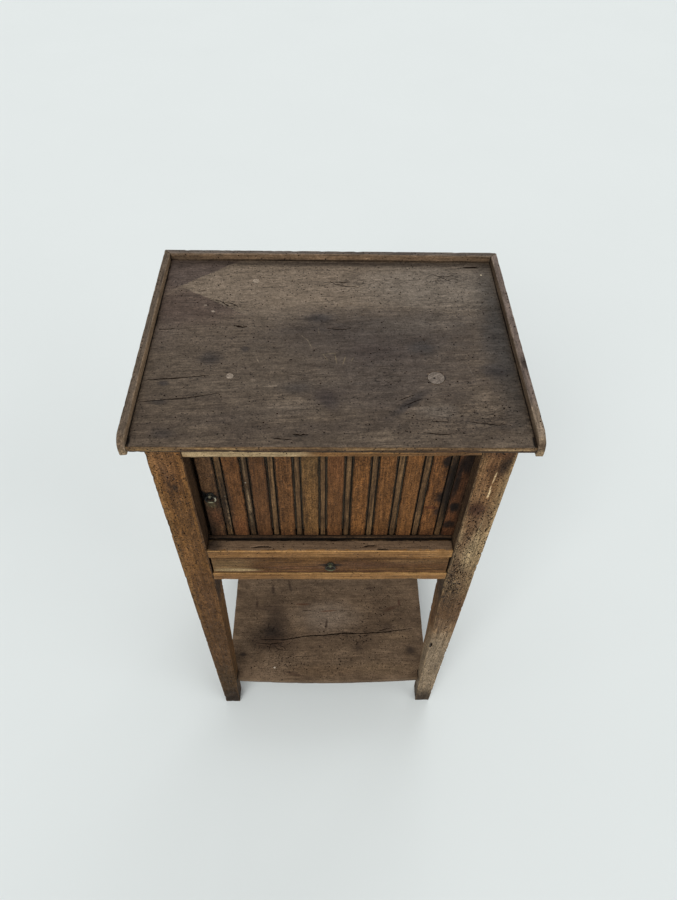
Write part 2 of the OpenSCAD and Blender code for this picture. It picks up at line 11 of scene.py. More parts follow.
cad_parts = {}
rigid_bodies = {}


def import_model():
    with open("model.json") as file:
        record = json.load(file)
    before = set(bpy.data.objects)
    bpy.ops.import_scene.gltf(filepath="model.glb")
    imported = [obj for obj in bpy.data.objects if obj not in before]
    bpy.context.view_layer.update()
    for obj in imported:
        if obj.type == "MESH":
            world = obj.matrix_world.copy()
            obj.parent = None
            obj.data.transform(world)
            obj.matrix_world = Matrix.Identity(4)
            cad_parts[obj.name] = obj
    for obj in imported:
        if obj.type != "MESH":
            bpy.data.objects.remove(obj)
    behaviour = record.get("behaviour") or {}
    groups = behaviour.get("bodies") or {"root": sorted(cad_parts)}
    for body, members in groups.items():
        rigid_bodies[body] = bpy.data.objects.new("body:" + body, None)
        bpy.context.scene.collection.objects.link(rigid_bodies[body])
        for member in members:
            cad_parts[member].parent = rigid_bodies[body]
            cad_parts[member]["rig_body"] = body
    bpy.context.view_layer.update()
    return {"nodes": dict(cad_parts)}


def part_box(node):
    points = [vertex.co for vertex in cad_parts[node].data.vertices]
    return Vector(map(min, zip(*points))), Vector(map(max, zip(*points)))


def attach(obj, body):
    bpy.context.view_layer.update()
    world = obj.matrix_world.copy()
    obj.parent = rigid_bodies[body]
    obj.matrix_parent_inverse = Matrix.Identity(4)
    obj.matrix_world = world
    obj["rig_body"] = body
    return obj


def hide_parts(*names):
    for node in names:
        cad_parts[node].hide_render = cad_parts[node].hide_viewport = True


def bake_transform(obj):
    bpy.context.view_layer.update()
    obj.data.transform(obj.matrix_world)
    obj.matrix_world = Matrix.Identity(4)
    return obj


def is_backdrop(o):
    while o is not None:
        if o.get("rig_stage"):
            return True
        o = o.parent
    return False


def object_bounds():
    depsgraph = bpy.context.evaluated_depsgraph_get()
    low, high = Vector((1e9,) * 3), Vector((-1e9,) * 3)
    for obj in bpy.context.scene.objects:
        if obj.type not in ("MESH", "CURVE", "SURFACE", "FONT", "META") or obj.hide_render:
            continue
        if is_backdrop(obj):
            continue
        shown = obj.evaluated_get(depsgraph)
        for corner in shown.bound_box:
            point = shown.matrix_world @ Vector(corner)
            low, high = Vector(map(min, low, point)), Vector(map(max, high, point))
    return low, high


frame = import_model()

MM = 0.001
NO = (0, 0, 0)
nodes = frame["nodes"]
rng = np.random.default_rng(11)


# Colours and shader nodes
def rgb(code, scale=1.0):
    """A colour written as 0xRRGGBB, times scale, as the linear colour of a shader socket."""
    def lin(c):
        c = c * scale / 255
        return c / 12.92 if c <= 0.04045 else ((c + 0.055) / 1.055) ** 2.4
    return (lin(code >> 16), lin(code >> 8 & 255), lin(code & 255), 1.0)


class Shade:
    """The shader nodes of one material, written as calls."""

    def __init__(self, name):
        self.mat = bpy.data.materials.new(name)
        self.mat.use_nodes = True
        self.tree = self.mat.node_tree
        self.tree.nodes.clear()
        self.bsdf = self.node("ShaderNodeBsdfPrincipled")
        self.node("ShaderNodeOutputMaterial", [self.bsdf.outputs[0]])
        self.place = self.node("ShaderNodeTexCoord").outputs["Object"]

    def fill(self, node, inputs):
        """Puts sockets or plain values in a node's inputs, which are given by name or number."""
        for key, value in inputs.items():
            if isinstance(value, bpy.types.NodeSocket):
                self.tree.links.new(value, node.inputs[key])
            else:
                node.inputs[key].default_value = value

    def node(self, kind, inputs=(), **settings):
        """A new node. Its inputs are a dict, or a list of the first ones."""
        made = self.tree.nodes.new(kind)
        for key, value in settings.items():
            setattr(made, key, value)
        self.fill(made, inputs if isinstance(inputs, dict) else dict(enumerate(inputs)))
        return made

    def math(self, op, a, b=0.0):
        return self.node("ShaderNodeMath", [a, b], operation=op).outputs[0]

    def mul(self, a, b):
        return self.math("MULTIPLY", a, b)

    def ramp(self, value, start, end, low=0.0, high=1.0, smooth=True):
        kind = "SMOOTHSTEP" if smooth else "LINEAR"
        inputs = [value, start, end, low, high]
        return self.node("ShaderNodeMapRange", inputs, interpolation_type=kind).outputs[0]

    def mix(self, share, a, b):
        return self.node("ShaderNodeMix", {0: share, 6: a, 7: b}, data_type="RGBA").outputs[2]

    def tint(self, colour, tone, value, start, end, share):
        """The colour, with the tone over it up to that share as value goes from start to end."""
        return self.mix(self.ramp(value, start, end, 0.0, share), colour, tone)

    def vector(self, op, inputs):
        return self.node("ShaderNodeVectorMath", inputs, operation=op)

    def moved(self, move, turn, sizes):
        """The place on the surface, in units of sizes from move, along axes turned by turn."""
        inputs = [self.place, move, turn, [size * MM for size in sizes]]
        return self.node("ShaderNodeMapping", inputs, vector_type="TEXTURE").outputs[0]

    def scaled(self, colour, factor):
        return self.vector("SCALE", {0: colour, "Scale": factor}).outputs[0]

    def lumps(self, sizes, detail=3.0, rough=0.55, turn=NO, move=NO, twist=0.0):
        """Noise from 0 to 1 with lumps of those sizes in mm along x, y and z."""
        return self.node("ShaderNodeTexNoise", {
            "Vector": self.moved(move, turn, sizes), "Scale": 1.0, "Detail": detail, "Roughness": rough,
            "Distortion": twist}).outputs["Fac"]

    def spot(self, centre, radii, turn, soft, ragged):
        """1 inside an ellipsoid, 0 outside, with a soft and ragged edge. Sizes in mm."""
        at = self.moved([c * MM for c in centre], turn, radii)
        far = self.vector("LENGTH", [at]).outputs["Value"]
        uneven = self.math("ADD", far, self.mul(ragged, min(0.4, 4 / sorted(radii)[1])))
        return self.ramp(uneven, 1.0 + soft, 1.0 - soft)

    def beyond(self, point, way, ragged):
        """1 on the side of a plane that way points to, with an edge about 2 mm wide. The point is in mm."""
        at = self.vector("SUBTRACT", [self.place, [p * MM for p in point]])
        far = self.vector("DOT_PRODUCT", [at.outputs[0], way]).outputs["Value"]
        return self.ramp(self.math("ADD", far, self.mul(ragged, 2 * MM)), -0.8 * MM, 0.8 * MM)

    def finish(self, colour, rough, shine=0.5, metal=0.0, height=None, bump=0.5, deep=0.2):
        """Sets the surface, with bumps up to deep in mm, and gives the material."""
        values = {"Base Color": colour, "Roughness": rough, "Specular IOR Level": shine, "Metallic": metal}
        if height is not None:
            inputs = {"Strength": bump, "Distance": deep * MM, "Height": height}
            values["Normal"] = self.node("ShaderNodeBump", inputs).outputs[0]
        self.fill(self.bsdf, values)
        return self.mat


# The inside of worm holes and cracks, painted near black: the shade in the hollows
s = Shade("worm_hole_dark")
hollow_shade_mottle = s.lumps([0.8] * 3, 3, 0.6)
hollow = s.finish(s.tint(rgb(0x140E0A), rgb(0x302216), hollow_shade_mottle, 0.45, 0.75, 1.0), 0.95, 0.05)


# Each wood's stains, painted light and painted shade by its name, for weather to paint
stains_and_light = {}


def is_soft(spot):
    """Whether the edge of a stain, painted shade or painted highlight is soft enough, over 4 mm each way,
    to be painted on the mesh's points.
    """
    centre, radii, tone, share, soft, turn, *limit = spot
    return not limit and min(radii) * soft > 4


def wood(name, tones, axis="x", tilt=NO, move=0.0, spots=(), gnawed=(), edge=None, edge_share=0.4,
         edge_from=0.62, edge_to=1.0, blotch=0.5, bands=0.5, mottle=0.35, streak=0.35, fibre=0.35, grit=0.35,
         dashes=0.7, dots=0.8, dot_cover=0.5, hair=0.3, corner_dirt_and_shade=0.8, closed_at=5, blotch_size=70,
         band_size=(150, 7), mottle_size=(22, 11), dot_size=5, dot_reach=0.17, gnaw_size=(4, 1.3),
         gnaw_least=0.66, rough=(0.6, 0.85), shine=0.12, painted=True):
    """Old waxed wood: broad stains, grain bands, fibres, pores, worm specks, placed stains with painted light
    and shade, gnawed patches, edges in their own colour (worn paler on most woods, painted near black with
    the shade of the gaps on the slats), hair cracks, and dirt with painted shade in corners. tones are the
    base, dark and light colour, or the base alone.
    Rows of gnawed are x, y, z, three radii, share and softness in hundredths. Sizes are in mm."""
    s = Shade(name)
    stains_and_light[s.mat.name] = spots
    if isinstance(tones, tuple):
        base, dark, light = [rgb(t) for t in tones]
    else:
        base, dark, light = [rgb(tones, scale) for scale in (1.0, 0.66, 1.22)]
    off = (move, move * 0.7, move * 0.4)

    def even(size, detail, rough):
        return s.lumps([size] * 3, detail, rough, NO, off)

    def grain(along, across, detail, rough, twist=0.0):
        return s.lumps([along if a == axis else across for a in "xyz"], detail, rough, tilt, off, twist)

    broad, speck = even(blotch_size, 4, 0.6), even(1.5, 2, 0.6)
    band, medium = grain(*band_size, 4, 0.62, 0.5), grain(*mottle_size, 5, 0.72)
    small, fine = grain(6, 3, 3, 0.7), grain(30, 0.9, 2, 0.6)
    colour = s.tint(base, dark, broad, 0.56, 0.36, blotch)
    colour = s.tint(colour, light, broad, 0.5, 0.68, blotch)
    colour = s.tint(colour, dark, band, 0.52, 0.36, bands)
    colour = s.tint(colour, light, band, 0.5, 0.66, bands)
    wobble = s.ramp(even(9, 4, 0.68), 0.25, 0.75, -0.5, 0.5, False)
    ragged = s.math("ADD", wobble, s.ramp(grain(22, 2.5, 3, 0.65), 0.3, 0.7, -0.45, 0.45, False))
    # The soft stains and the soft painted light and shade that weather wrote on the points
    if painted:
        stain_and_light = s.node("ShaderNodeAttribute", attribute_name="stain_and_light").outputs
        kept = s.scaled(colour, s.math("SUBTRACT", 1.0, stain_and_light["Alpha"]))
        colour = s.vector("ADD", [kept, stain_and_light["Color"]]).outputs[0]
    for centre, radii, tone, share, soft, turn, *limit in [spot for spot in spots if not is_soft(spot)]:
        inside = s.spot(centre, radii, turn, soft, ragged)
        if limit:
            inside = s.mul(inside, s.beyond(*limit, ragged))
        colour = s.mix(s.mul(inside, share), colour, tone)
    if edge is not None:
        near = s.node("ShaderNodeAttribute", attribute_name="edge").outputs["Fac"]
        near = s.math("ADD", near, s.mul(ragged, 0.8 * (edge_to - edge_from)))
        colour = s.tint(colour, rgb(edge), near, edge_from, edge_to, edge_share)
    shade = s.ramp(medium, 0.3, 0.7, 1 - mottle, 1 + mottle, False)
    for layer, amount in ((band, streak), (small, mottle * 0.8), (fine, fibre), (speck, grit)):
        shade = s.mul(shade, s.ramp(layer, 0.28, 0.72, 1 - amount, 1 + amount, False))
    colour = s.scaled(colour, shade)
    pores = s.ramp(grain(5, 0.8, 1, 0.5), 0.34, 0.26, 0.0, dashes)
    colour = s.mix(pores, colour, rgb(0x1E150F))
    beside = s.math("ABSOLUTE", s.math("SUBTRACT", grain(110, 7, 3, 0.55, 0.5), 0.5))
    cracked = s.mul(s.ramp(beside, 0.03, 0.012), s.ramp(broad, 0.44, 0.54, 0.0, hair))
    colour = s.mix(cracked, colour, rgb(0x221812))
    if gnawed:
        eaten = 0.0
        worm = grain(*gnaw_size, 3, 0.75, 0.9)
        for *place, share, soft in gnawed:
            inside = s.mul(s.spot(place[:3], place[3:], NO, soft / 100, ragged), share / 100)
            part = s.ramp(s.math("ADD", worm, s.mul(inside, 0.12)), gnaw_least, gnaw_least + 0.03)
            eaten = s.math("MAXIMUM", eaten, s.mul(part, s.ramp(inside, 0.0, 0.25)))
        colour = s.mix(s.mul(eaten, 0.9), colour, rgb(0x1E1610))
    cells = s.node("ShaderNodeTexVoronoi", {"Vector": s.place, "Scale": 1000 / dot_size}, feature="F1")
    sparse = s.ramp(s.lumps([38] * 3, 2, 0.5, NO, (off[1], off[0], off[2])), 0.6 - 0.36 * dot_cover,
                    0.74 - 0.36 * dot_cover)
    pricks = s.mul(s.ramp(cells.outputs["Distance"], dot_reach, dot_reach - 0.05), sparse)
    colour = s.mix(s.mul(pricks, dots), colour, rgb(0x140E0A))
    # Dirt and painted shade in corners: darker where ambient occlusion finds the surface closed in
    ao_shade = s.node("ShaderNodeAmbientOcclusion", {"Distance": closed_at * MM}, samples=6).outputs["AO"]
    colour = s.tint(colour, rgb(0x18120E), s.math("ADD", ao_shade, s.mul(ragged, 0.2)), 0.8, 0.35, corner_dirt_and_shade)
    height = s.math("ADD", s.mul(fine, 0.5), s.mul(speck, 0.3))
    height = s.math("ADD", height, s.mul(medium, 0.5))
    for layer, amount in ((pores, 0.5), (pricks, 0.8), (cracked, 0.8)):
        height = s.math("SUBTRACT", height, s.mul(layer, amount))
    return s.finish(colour, s.ramp(medium, 0.3, 0.7, rough[1], rough[0]), shine, height=height, deep=0.6)


# Shape tools
def value_noise(p, size, seed):
    """Smooth noise from 0 to 1 at points p, with lumps of that size in mm."""
    q = p / (size * MM) + seed * 7.31
    cell = np.floor(q).astype(np.int64)
    part = q - cell
    part = part * part * (3 - 2 * part)
    total = np.zeros(len(p))
    for corner in range(8):
        d = np.array([corner & 1, corner >> 1 & 1, corner >> 2 & 1])
        c = cell + d
        h = (c[:, 0] * 73856093) ^ (c[:, 1] * 19349663) ^ (c[:, 2] * 83492791) ^ (seed * 2654435761)
        h = (h ^ (h >> 13)) * 1274126177 & 0x7FFFFFFF
        h = (h ^ (h >> 16)) & 0xFFFF
        total += np.prod(np.where(d == 1, part, 1 - part), axis=1) * h / 65535
    return total


def vectors(source, name):
    """The points or normals of a mesh as rows of three numbers."""
    flat = np.zeros(len(source) * 3)
    source.foreach_get(name, flat)
    return flat.reshape(-1, 3)


def near_segments(p, seg, reach):
    """1 on the segments, falling to 0 at that reach in mm."""
    best = np.full(len(p), 1e9)
    for a, b in seg:
        ab = b - a
        t = np.clip(((p - a) @ ab) / max(ab @ ab, 1e-12), 0, 1)
        best = np.minimum(best, np.linalg.norm(p - a - t[:, None] * ab, axis=1))
    return np.clip(1 - best / (reach * MM), 0, 1)


def cut_grid(bm, step):
    """Cuts the mesh along planes about that many mm apart on each axis."""
    lo = [min(v.co[a] for v in bm.verts) for a in range(3)]
    hi = [max(v.co[a] for v in bm.verts) for a in range(3)]
    for a in range(3):
        count = max(1, round((hi[a] - lo[a]) / (step * MM)))
        way = Vector([1.0 if k == a else 0.0 for k in range(3)])
        for i in range(1, count):
            at = lo[a] + (hi[a] - lo[a]) * (i + 0.013) / count
            near = [f for f in bm.faces if min(v.co[a] for v in f.verts) < at < max(v.co[a] for v in f.verts)]
            geom = set(near)
            for f in near:
                geom.update(f.verts, f.edges)
            bmesh.ops.bisect_plane(bm, geom=list(geom), plane_co=way * at, plane_no=way, dist=1e-7)


def tube(bm, at, way, radius, depth, sides=7):
    """A closed small cylinder from just over the surface at a point down into the wood."""
    way = Vector(way).normalized()
    side = way.orthogonal().normalized()
    other = way.cross(side)
    top, low = [], []
    for i in range(sides):
        a = 2 * math.pi * i / sides
        ring = side * math.cos(a) * radius + other * math.sin(a) * radius
        top.append(bm.verts.new(Vector(at) + way * 1.2 * MM + ring))
        low.append(bm.verts.new(Vector(at) - way * depth + ring * 0.8))
    for i in range(sides):
        j = (i + 1) % sides
        bm.faces.new((top[i], low[i], low[j], top[j]))
    bm.faces.new(top)
    bm.faces.new(low[::-1])


def furrow(bm, points, way, width, depth, ragged=0.35):
    """A closed wedge along a line of points: a crack, a worm's channel or a split. Its ends run out thin."""
    way = Vector(way).normalized()
    points = [Vector(p) for p in points]
    rows = []
    last = len(points) - 1
    for i, p in enumerate(points):
        run = (points[min(i + 1, last)] - points[max(i - 1, 0)]).normalized()
        side = run.cross(way).normalized()
        thin = math.sin(math.pi * (0.06 + 0.88 * i / last)) ** 0.6
        w = width * thin * (1 + ragged * rng.uniform(-1, 1)) / 2
        p = p + side * width * ragged * rng.uniform(-0.5, 0.5)
        d = depth * thin * (1 + 0.3 * rng.uniform(-1, 1))
        over = way * MM
        rows.append([bm.verts.new(q) for q in (
            p + side * w * 1.3 + over, p + side * w, p - way * d, p - side * w, p - side * w * 1.3 + over)])
    for a, b in zip(rows, rows[1:]):
        for i in range(5):
            j = (i + 1) % 5
            bm.faces.new((a[i], a[j], b[j], b[i]))
    bm.faces.new(rows[0][::-1])
    bm.faces.new(rows[-1])


def add(name, data):
    """Puts a new object with that data in the scene."""
    obj = bpy.data.objects.new(name, data)
    bpy.context.scene.collection.objects.link(obj)
    return obj


def carve(obj, cutter):
    """Takes the cutter's solids out of the piece."""
    bmesh.ops.recalc_face_normals(cutter, faces=cutter.faces)
    for face in cutter.faces:
        face.material_index = 1
    me = bpy.data.meshes.new("cutter")
    cutter.to_mesh(me)
    for material in obj.data.materials:
        me.materials.append(material)
    tool = add("cutter", me)
    mod = obj.modifiers.new("carve", "BOOLEAN")
    mod.operation, mod.object, mod.solver = "DIFFERENCE", tool, "MANIFOLD"
    bpy.context.view_layer.update()
    made = bpy.data.meshes.new_from_object(obj.evaluated_get(bpy.context.evaluated_depsgraph_get()))
    obj.modifiers.clear()
    old, obj.data = obj.data, made
    bpy.data.meshes.remove(old)
    bpy.data.objects.remove(tool)
    bpy.data.meshes.remove(me)


def paint(me, co, spots, seed):
    """Writes the soft stains and the soft painted light and shade to the mesh's points, as a colour that is
    already multiplied by its alpha.
    """
    cover = np.zeros((len(co), 4))
    ragged = 0.7 * (value_noise(co, 13, seed + 21) - 0.5) + 0.5 * (value_noise(co, 6, seed + 22) - 0.5)
    for centre, radii, tone, share, soft, turn in [spot for spot in spots if is_soft(spot)]:
        local = (co - np.array(centre) * MM) @ np.array(Euler(turn).to_matrix()) / (np.array(radii) * MM)
        far = np.linalg.norm(local, axis=1) + ragged * min(0.8, 8 / sorted(radii)[1])
        inside = np.clip((1 + soft - far) / (2 * soft), 0, 1)
        inside = (inside * inside * (3 - 2 * inside) * share)[:, None]
        cover = cover * (1 - inside) + np.array([*tone[:3], 1.0]) * inside
    stain_and_light = me.attributes.new("stain_and_light", "FLOAT_COLOR", "POINT")
    stain_and_light.data.foreach_set("color", cover.astype(np.float32).ravel())


def weather(node, material, step=4.0, soft=0.7, wave=0.25, nick=0.5, nick_size=9.0, seed=1, cuts=(),
            still=None, fit=None):
    """The worn wood piece that stands for a CAD node: its edges rounded and nicked, its faces uneven, with
    real worm holes and cracks. cuts fill a bmesh with what is cut out, still is an axis whose faces stay
    where they are, and fit changes the points first."""
    bm = bmesh.new()
    bm.from_mesh(nodes[node].data)
    bmesh.ops.remove_doubles(bm, verts=bm.verts, dist=2e-6)
    bmesh.ops.dissolve_limit(bm, angle_limit=math.radians(0.4), verts=bm.verts, edges=bm.edges)
    if fit:
        fit(bm)
    edges = [e for e in bm.edges if len(e.link_faces) == 2 and e.calc_length() > 1.3 * MM
             and e.is_convex and e.calc_face_angle(0) > math.radians(28)]
    seg = np.array([[list(v.co) for v in e.verts] for e in edges]).reshape(-1, 2, 3)
    if soft and edges:
        bmesh.ops.bevel(bm, geom=edges, offset=soft * MM, segments=2, profile=0.5, affect="EDGES",
                        clamp_overlap=True)
    cut_grid(bm, step)
    me = bpy.data.meshes.new(node + "_worn")
    bm.to_mesh(me)
    bm.free()
    co, normal = vectors(me.vertices, "co"), vectors(me.vertex_normals, "vector")
    close = near_segments(co, seg, 4)
    low, mid = value_noise(co, 45, seed), value_noise(co, 11, seed + 5)
    worn = np.clip(value_noise(co, nick_size, seed + 9) - 0.62, 0, 1) * 2.6
    worn += np.clip(value_noise(co, 60, seed + 13) - 0.5, 0, 1) * 0.8
    depth = wave * (0.6 * low + 0.4 * mid) + nick * worn * close ** 1.5
    if still is not None:
        depth[np.abs(normal[:, still]) > 0.6] = 0
    co -= normal * (depth * MM)[:, None]
    me.vertices.foreach_set("co", co.ravel())
    obj = add(node + "_worn", me)
    me.materials.append(material)
    me.materials.append(hollow)
    for cut in cuts:
        tool = bmesh.new()
        cut(tool)
        if tool.faces:
            carve(obj, tool)
        tool.free()
    me = obj.data
    me.shade_smooth()
    me.set_sharp_from_angle(angle=math.radians(38))
    co = vectors(me.vertices, "co")
    paint(me, co, stains_and_light[material.name], seed)
    near = near_segments(co, seg, 5)
    me.attributes.new("edge", "FLOAT", "POINT").data.foreach_set("value", near.astype(np.float32))
    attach(obj, nodes[node]["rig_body"])
    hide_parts(node)


def dress(node, material):
    """A CAD node that stays, with its own material."""
    nodes[node].data.materials.clear()
    nodes[node].data.materials.append(material)


# Worm holes and cracks in flat faces. A face is its axis, its level in mm and the way it looks
TOP, FRONT, REAR = (2, 755.2, 1), (1, -145.8, -1), (1, 145.8, 1)
LEFT, RIGHT = (0, -188.3, -1), (0, 188.3, 1)


def spread(count, low, high, apart, keep=None):
    """Random places in a flat box, in mm, at least some way apart, thinned by keep(a, b) from 0 to 1."""
    found, tries = [], 0
    while len(found) < count and tries < count * 60:
        tries += 1
        p = (rng.uniform(low[0], high[0]), rng.uniform(low[1], high[1]))
        if keep and rng.random() > keep(*p):
            continue
        if all((p[0] - q[0]) ** 2 + (p[1] - q[1]) ** 2 > apart * apart for q in found):
            found.append(p)
    return found


def on_face(face, a, b):
    """The point of a face at a and b in mm on the two other axes, in metres."""
    at = [a * MM, b * MM]
    at.insert(face[0], face[1] * MM)
    return at


def holes(face, count, low, high, apart, size=(0.45, 1.0), depth=(1.5, 4.0), keep=None):
    """A function that cuts worm holes at random places of a face."""
    places = spread(count, low, high, apart, keep)

    def cut(bm):
        for a, b in places:
            lean = [rng.uniform(-0.35, 0.35) for _ in range(3)]
            lean[face[0]] = face[2]
            tube(bm, on_face(face, a, b), lean, rng.uniform(*size) * MM, rng.uniform(*depth) * MM)
    return cut


def cracks(face, rows):
    """A function that cuts cracks in a face. A row is the width, the depth and the path's points, in mm."""
    way = [face[2] if k == face[0] else 0 for k in range(3)]

    def cut(bm):
        for width, depth, *path in rows:
            points = list(zip(path[::2], path[1::2]))
            fine = []
            for (a0, b0), (a1, b1) in zip(points, points[1:]):
                n = max(2, int(math.hypot(a1 - a0, b1 - b0) / 2.5))
                fine += [(a0 + (a1 - a0) * i / n, b0 + (b1 - b0) * i / n) for i in range(n)]
            line = [on_face(face, a + rng.uniform(-0.25, 0.25), b + rng.uniform(-0.25, 0.25))
                    for a, b in fine + [points[-1]]]
            furrow(bm, line, way, width * MM, depth * MM)
    return cut


# Stains, painted shade and painted highlights. Each row ends with its colour, its share and softness in
# hundredths, and maybe its turn in degrees
def level(rows, z=755):
    """Stains and painted light on a level face, from rows of x, y and two radii in mm."""
    return [((x, y, z), (rx, ry, 30), rgb(tone), share / 100, soft / 100, (0, 0, math.radians(sum(turn))))
            for x, y, rx, ry, tone, share, soft, *turn in rows]


def upright(rows, y=-146, ry=30):
    """Stains and painted shade on an upright face that looks to the front, from rows of x, z and two radii.
    """
    return [((x, y, z), (rx, ry, rz), rgb(tone), share / 100, soft / 100, (0, math.radians(sum(turn)), 0))
            for x, z, rx, rz, tone, share, soft, *turn in rows]


def solid(rows):
    """Stains and painted light and shade in space, from rows of x, y, z and three radii."""
    return [(row[:3], row[3:6], rgb(row[6]), row[7] / 100, row[8] / 100, NO) for row in rows]


# Top board
DIRT, DUSK, OCHRE = 0x1C1510, 0x2A2524, 0x4B3622
APEX = (-182, 96, 755)
wedge = level([(-168, 160, 84, 84, 0x4C403A, 92, 30), (-160, 62, 60, 34, 0x4C3E36, 90, 50)])
# The first two rows make the pale zone at the back left: lighter wood with a painted reflection in it; the
# two wedge stains cut its point at APEX
top_spots = level([
    (-60, 102, 165, 64, 0x746657, 85, 45), (-150, 88, 42, 20, 0x766859, 80, 80),
    (-150, 30, 34, 12, 0x625447, 60, 80, 4), (130, 100, 90, 46, 0x70665B, 70, 50),
    (20, 10, 130, 40, 0x3E352F, 90, 60), (-44, -104, 60, 9, 0x685C50, 60, 90, 9),
    (-20, -72, 50, 8, 0x62574C, 50, 90, 6), (-100, -72, 60, 7, 0x5E5347, 50, 90, 5),
    (-110, -118, 50, 9, 0x463C34, 60, 90, 12), (30, -128, 90, 8, 0x443A32, 50, 90, 4),
    (-60, 40, 70, 12, 0x62564A, 50, 90, 3), (-112, 22, 40, 16, 0x645749, 50, 90, 6),
    (110, 30, 60, 14, 0x60574E, 50, 90, 4), (60, -20, 30, 14, 0x3C322E, 70, 90, 4),
    (60, -50, 80, 50, 0x463D37, 70, 60), (-110, -40, 100, 60, 0x54493E, 60, 60),
    (-186, 20, 22, 30, 0x4A403A, 60, 70), (192, 10, 16, 120, 0x322E2A, 85, 90),
    (180, -10, 14, 44, 0x383330, 60, 90), (0, 143, 200, 5, 0x342C26, 80, 80),
    (-200.8, 0, 0.9, 170, 0x090706, 98, 20), (200.8, 0, 0.9, 170, 0x090706, 98, 20),
    (200.4, -150, 3.0, 12, 0x0A0807, 95, 30), (-200.4, -150, 2.6, 10, 0x0A0807, 95, 30),
    (-133, -30, 12, 9, DUSK, 80, 70), (-15, 38, 17, 8, DUSK, 80, 70), (-178, -69, 6, 3.4, DUSK, 80, 60),
    (-168, -139, 11, 6, DUSK, 70, 70), (102, -12, 15, 10, 0x322E2D, 75, 70),
    (176, -48, 14, 9, DUSK, 75, 70), (-4, -92, 9, 15, 0x2E2625, 75, 60, 20),
    (80, -96, 24, 5, DUSK, 75, 70, 42), (-4, -84, 20, 10, 0x382F2B, 60, 80),
    (40, -20, 26, 12, 0x3A302B, 60, 80), (-96, -15, 4, 4, DUSK, 70, 50), (-178, -96, 8, 4, DUSK, 60, 60),
    (-38, -75, 14, 8, 0x38322F, 70, 80), (108, -108, 18, 8, 0x665D54, 60, 80),
    (2, 98, 7, 5, 0x807162, 80, 40), (-138, 49, 2.4, 1.6, 0x96887A, 80, 30),
    (-148, 60, 1.8, 1.3, 0x8C7E70, 80, 30), (-81, -33, 0.7, 5, 0x7E7060, 50, 60, 20),
    (-64, -72, 7, 1.2, 0x847666, 50, 60, 8), (111, -59, 9.9, 9.9, 0x2E2725, 85, 10),
    (-150, 8, 40, 22, 0x5E5145, 50, 90), (-84, -64, 3, 2, 0x7A6C5E, 60, 50),
    (186, 123, 1.1, 1.1, 0xB4A68C, 90, 20), (4, -30, 0.5, 7, 0x847458, 50, 70, 8),
    (13, -33, 0.5, 6, 0x847458, 50, 70, -14), (-8, -27, 0.5, 6, 0x7E7058, 45, 70, 30),
    (22, -31, 0.5, 4, 0x7E7058, 45, 70, -24), (-2, -22, 8, 0.5, 0x7E7058, 45, 70, 10),
    (-25, -6, 0.5, 7, 0x7E705C, 45, 70, 20), (-31, 4, 0.5, 6, 0x7C6E5A, 40, 70, 42),
    (-15, 14, 0.5, 6, 0x786A58, 35, 70, 4), (150, -50, 0.5, 10, 0x6C625A, 35, 70, 12),
    (128, -8, 26, 0.6, 0x64594D, 40, 70, -7),
]) + solid([
    (0, -157, 751, 420, 1.8, 9, OCHRE, 95, 35), (0, -157, 748.6, 420, 2.2, 2.6, 0x2C2016, 90, 50),
    # A thin pale line along the front arris: a painted highlight
    (0, -156.9, 754.8, 420, 1.1, 0.7, 0x80694A, 35, 80),
]) + upright([
    (-176, 752, 22, 2.0, 0x8C704A, 60, 60), (-110, 753.6, 34, 1.0, 0x967A52, 70, 50, 1),
    (36, 753.4, 30, 0.9, 0x927650, 60, 50, -1), (174, 753, 24, 1.3, 0xA08662, 70, 50),
    (120, 750, 20, 1.6, 0x4A3220, 70, 50),
], -157, 2)
top_spots = [wedge[0] + (APEX, (-0.616, 0.788, 0)), wedge[1] + (APEX, (-0.545, -0.839, 0)), *top_spots]
top_gnawed = [
    (-118, 62, 755, 34, 12, 30, 90, 80), (-60, 118, 755, 110, 20, 30, 50, 90),
    (30, 104, 755, 50, 16, 30, 80, 80), (140, 116, 755, 40, 16, 30, 80, 80),
    (150, -118, 755, 46, 22, 30, 90, 80), (-10, 20, 755, 40, 10, 30, 70, 80),
    (52, -62, 755, 30, 26, 30, 75, 80), (-20, -128, 755, 150, 18, 30, 45, 90),
    (-150, -20, 755, 44, 70, 30, 35, 90), (120, 40, 755, 60, 26, 30, 50, 90),
    (-26, -60, 755, 26, 14, 30, 60, 80),
]
top_wood = wood(
    "top_board_wood", (0x54483C, 0x382E27, 0x706253), tilt=(0, 0, math.radians(4)), blotch=0.45, bands=0.25,
    edge=0x806644, edge_share=0.22, spots=top_spots, gnawed=top_gnawed, rough=(0.5, 0.7), shine=0.15,
    band_size=(70, 7), blotch_size=40, mottle=0.24, mottle_size=(24, 12), streak=0.1, fibre=0.26, grit=0.38,
    hair=0.35, closed_at=2.5, corner_dirt_and_shade=0.75, gnaw_size=(5.5, 1.6), gnaw_least=0.645, dot_reach=0.2,
    dot_cover=0.65)


def top_density(x, y):
    """More worm holes near the back and in the front right corner."""
    return 1.0 if y > 55 or (x > 60 and y < -90) else 0.35


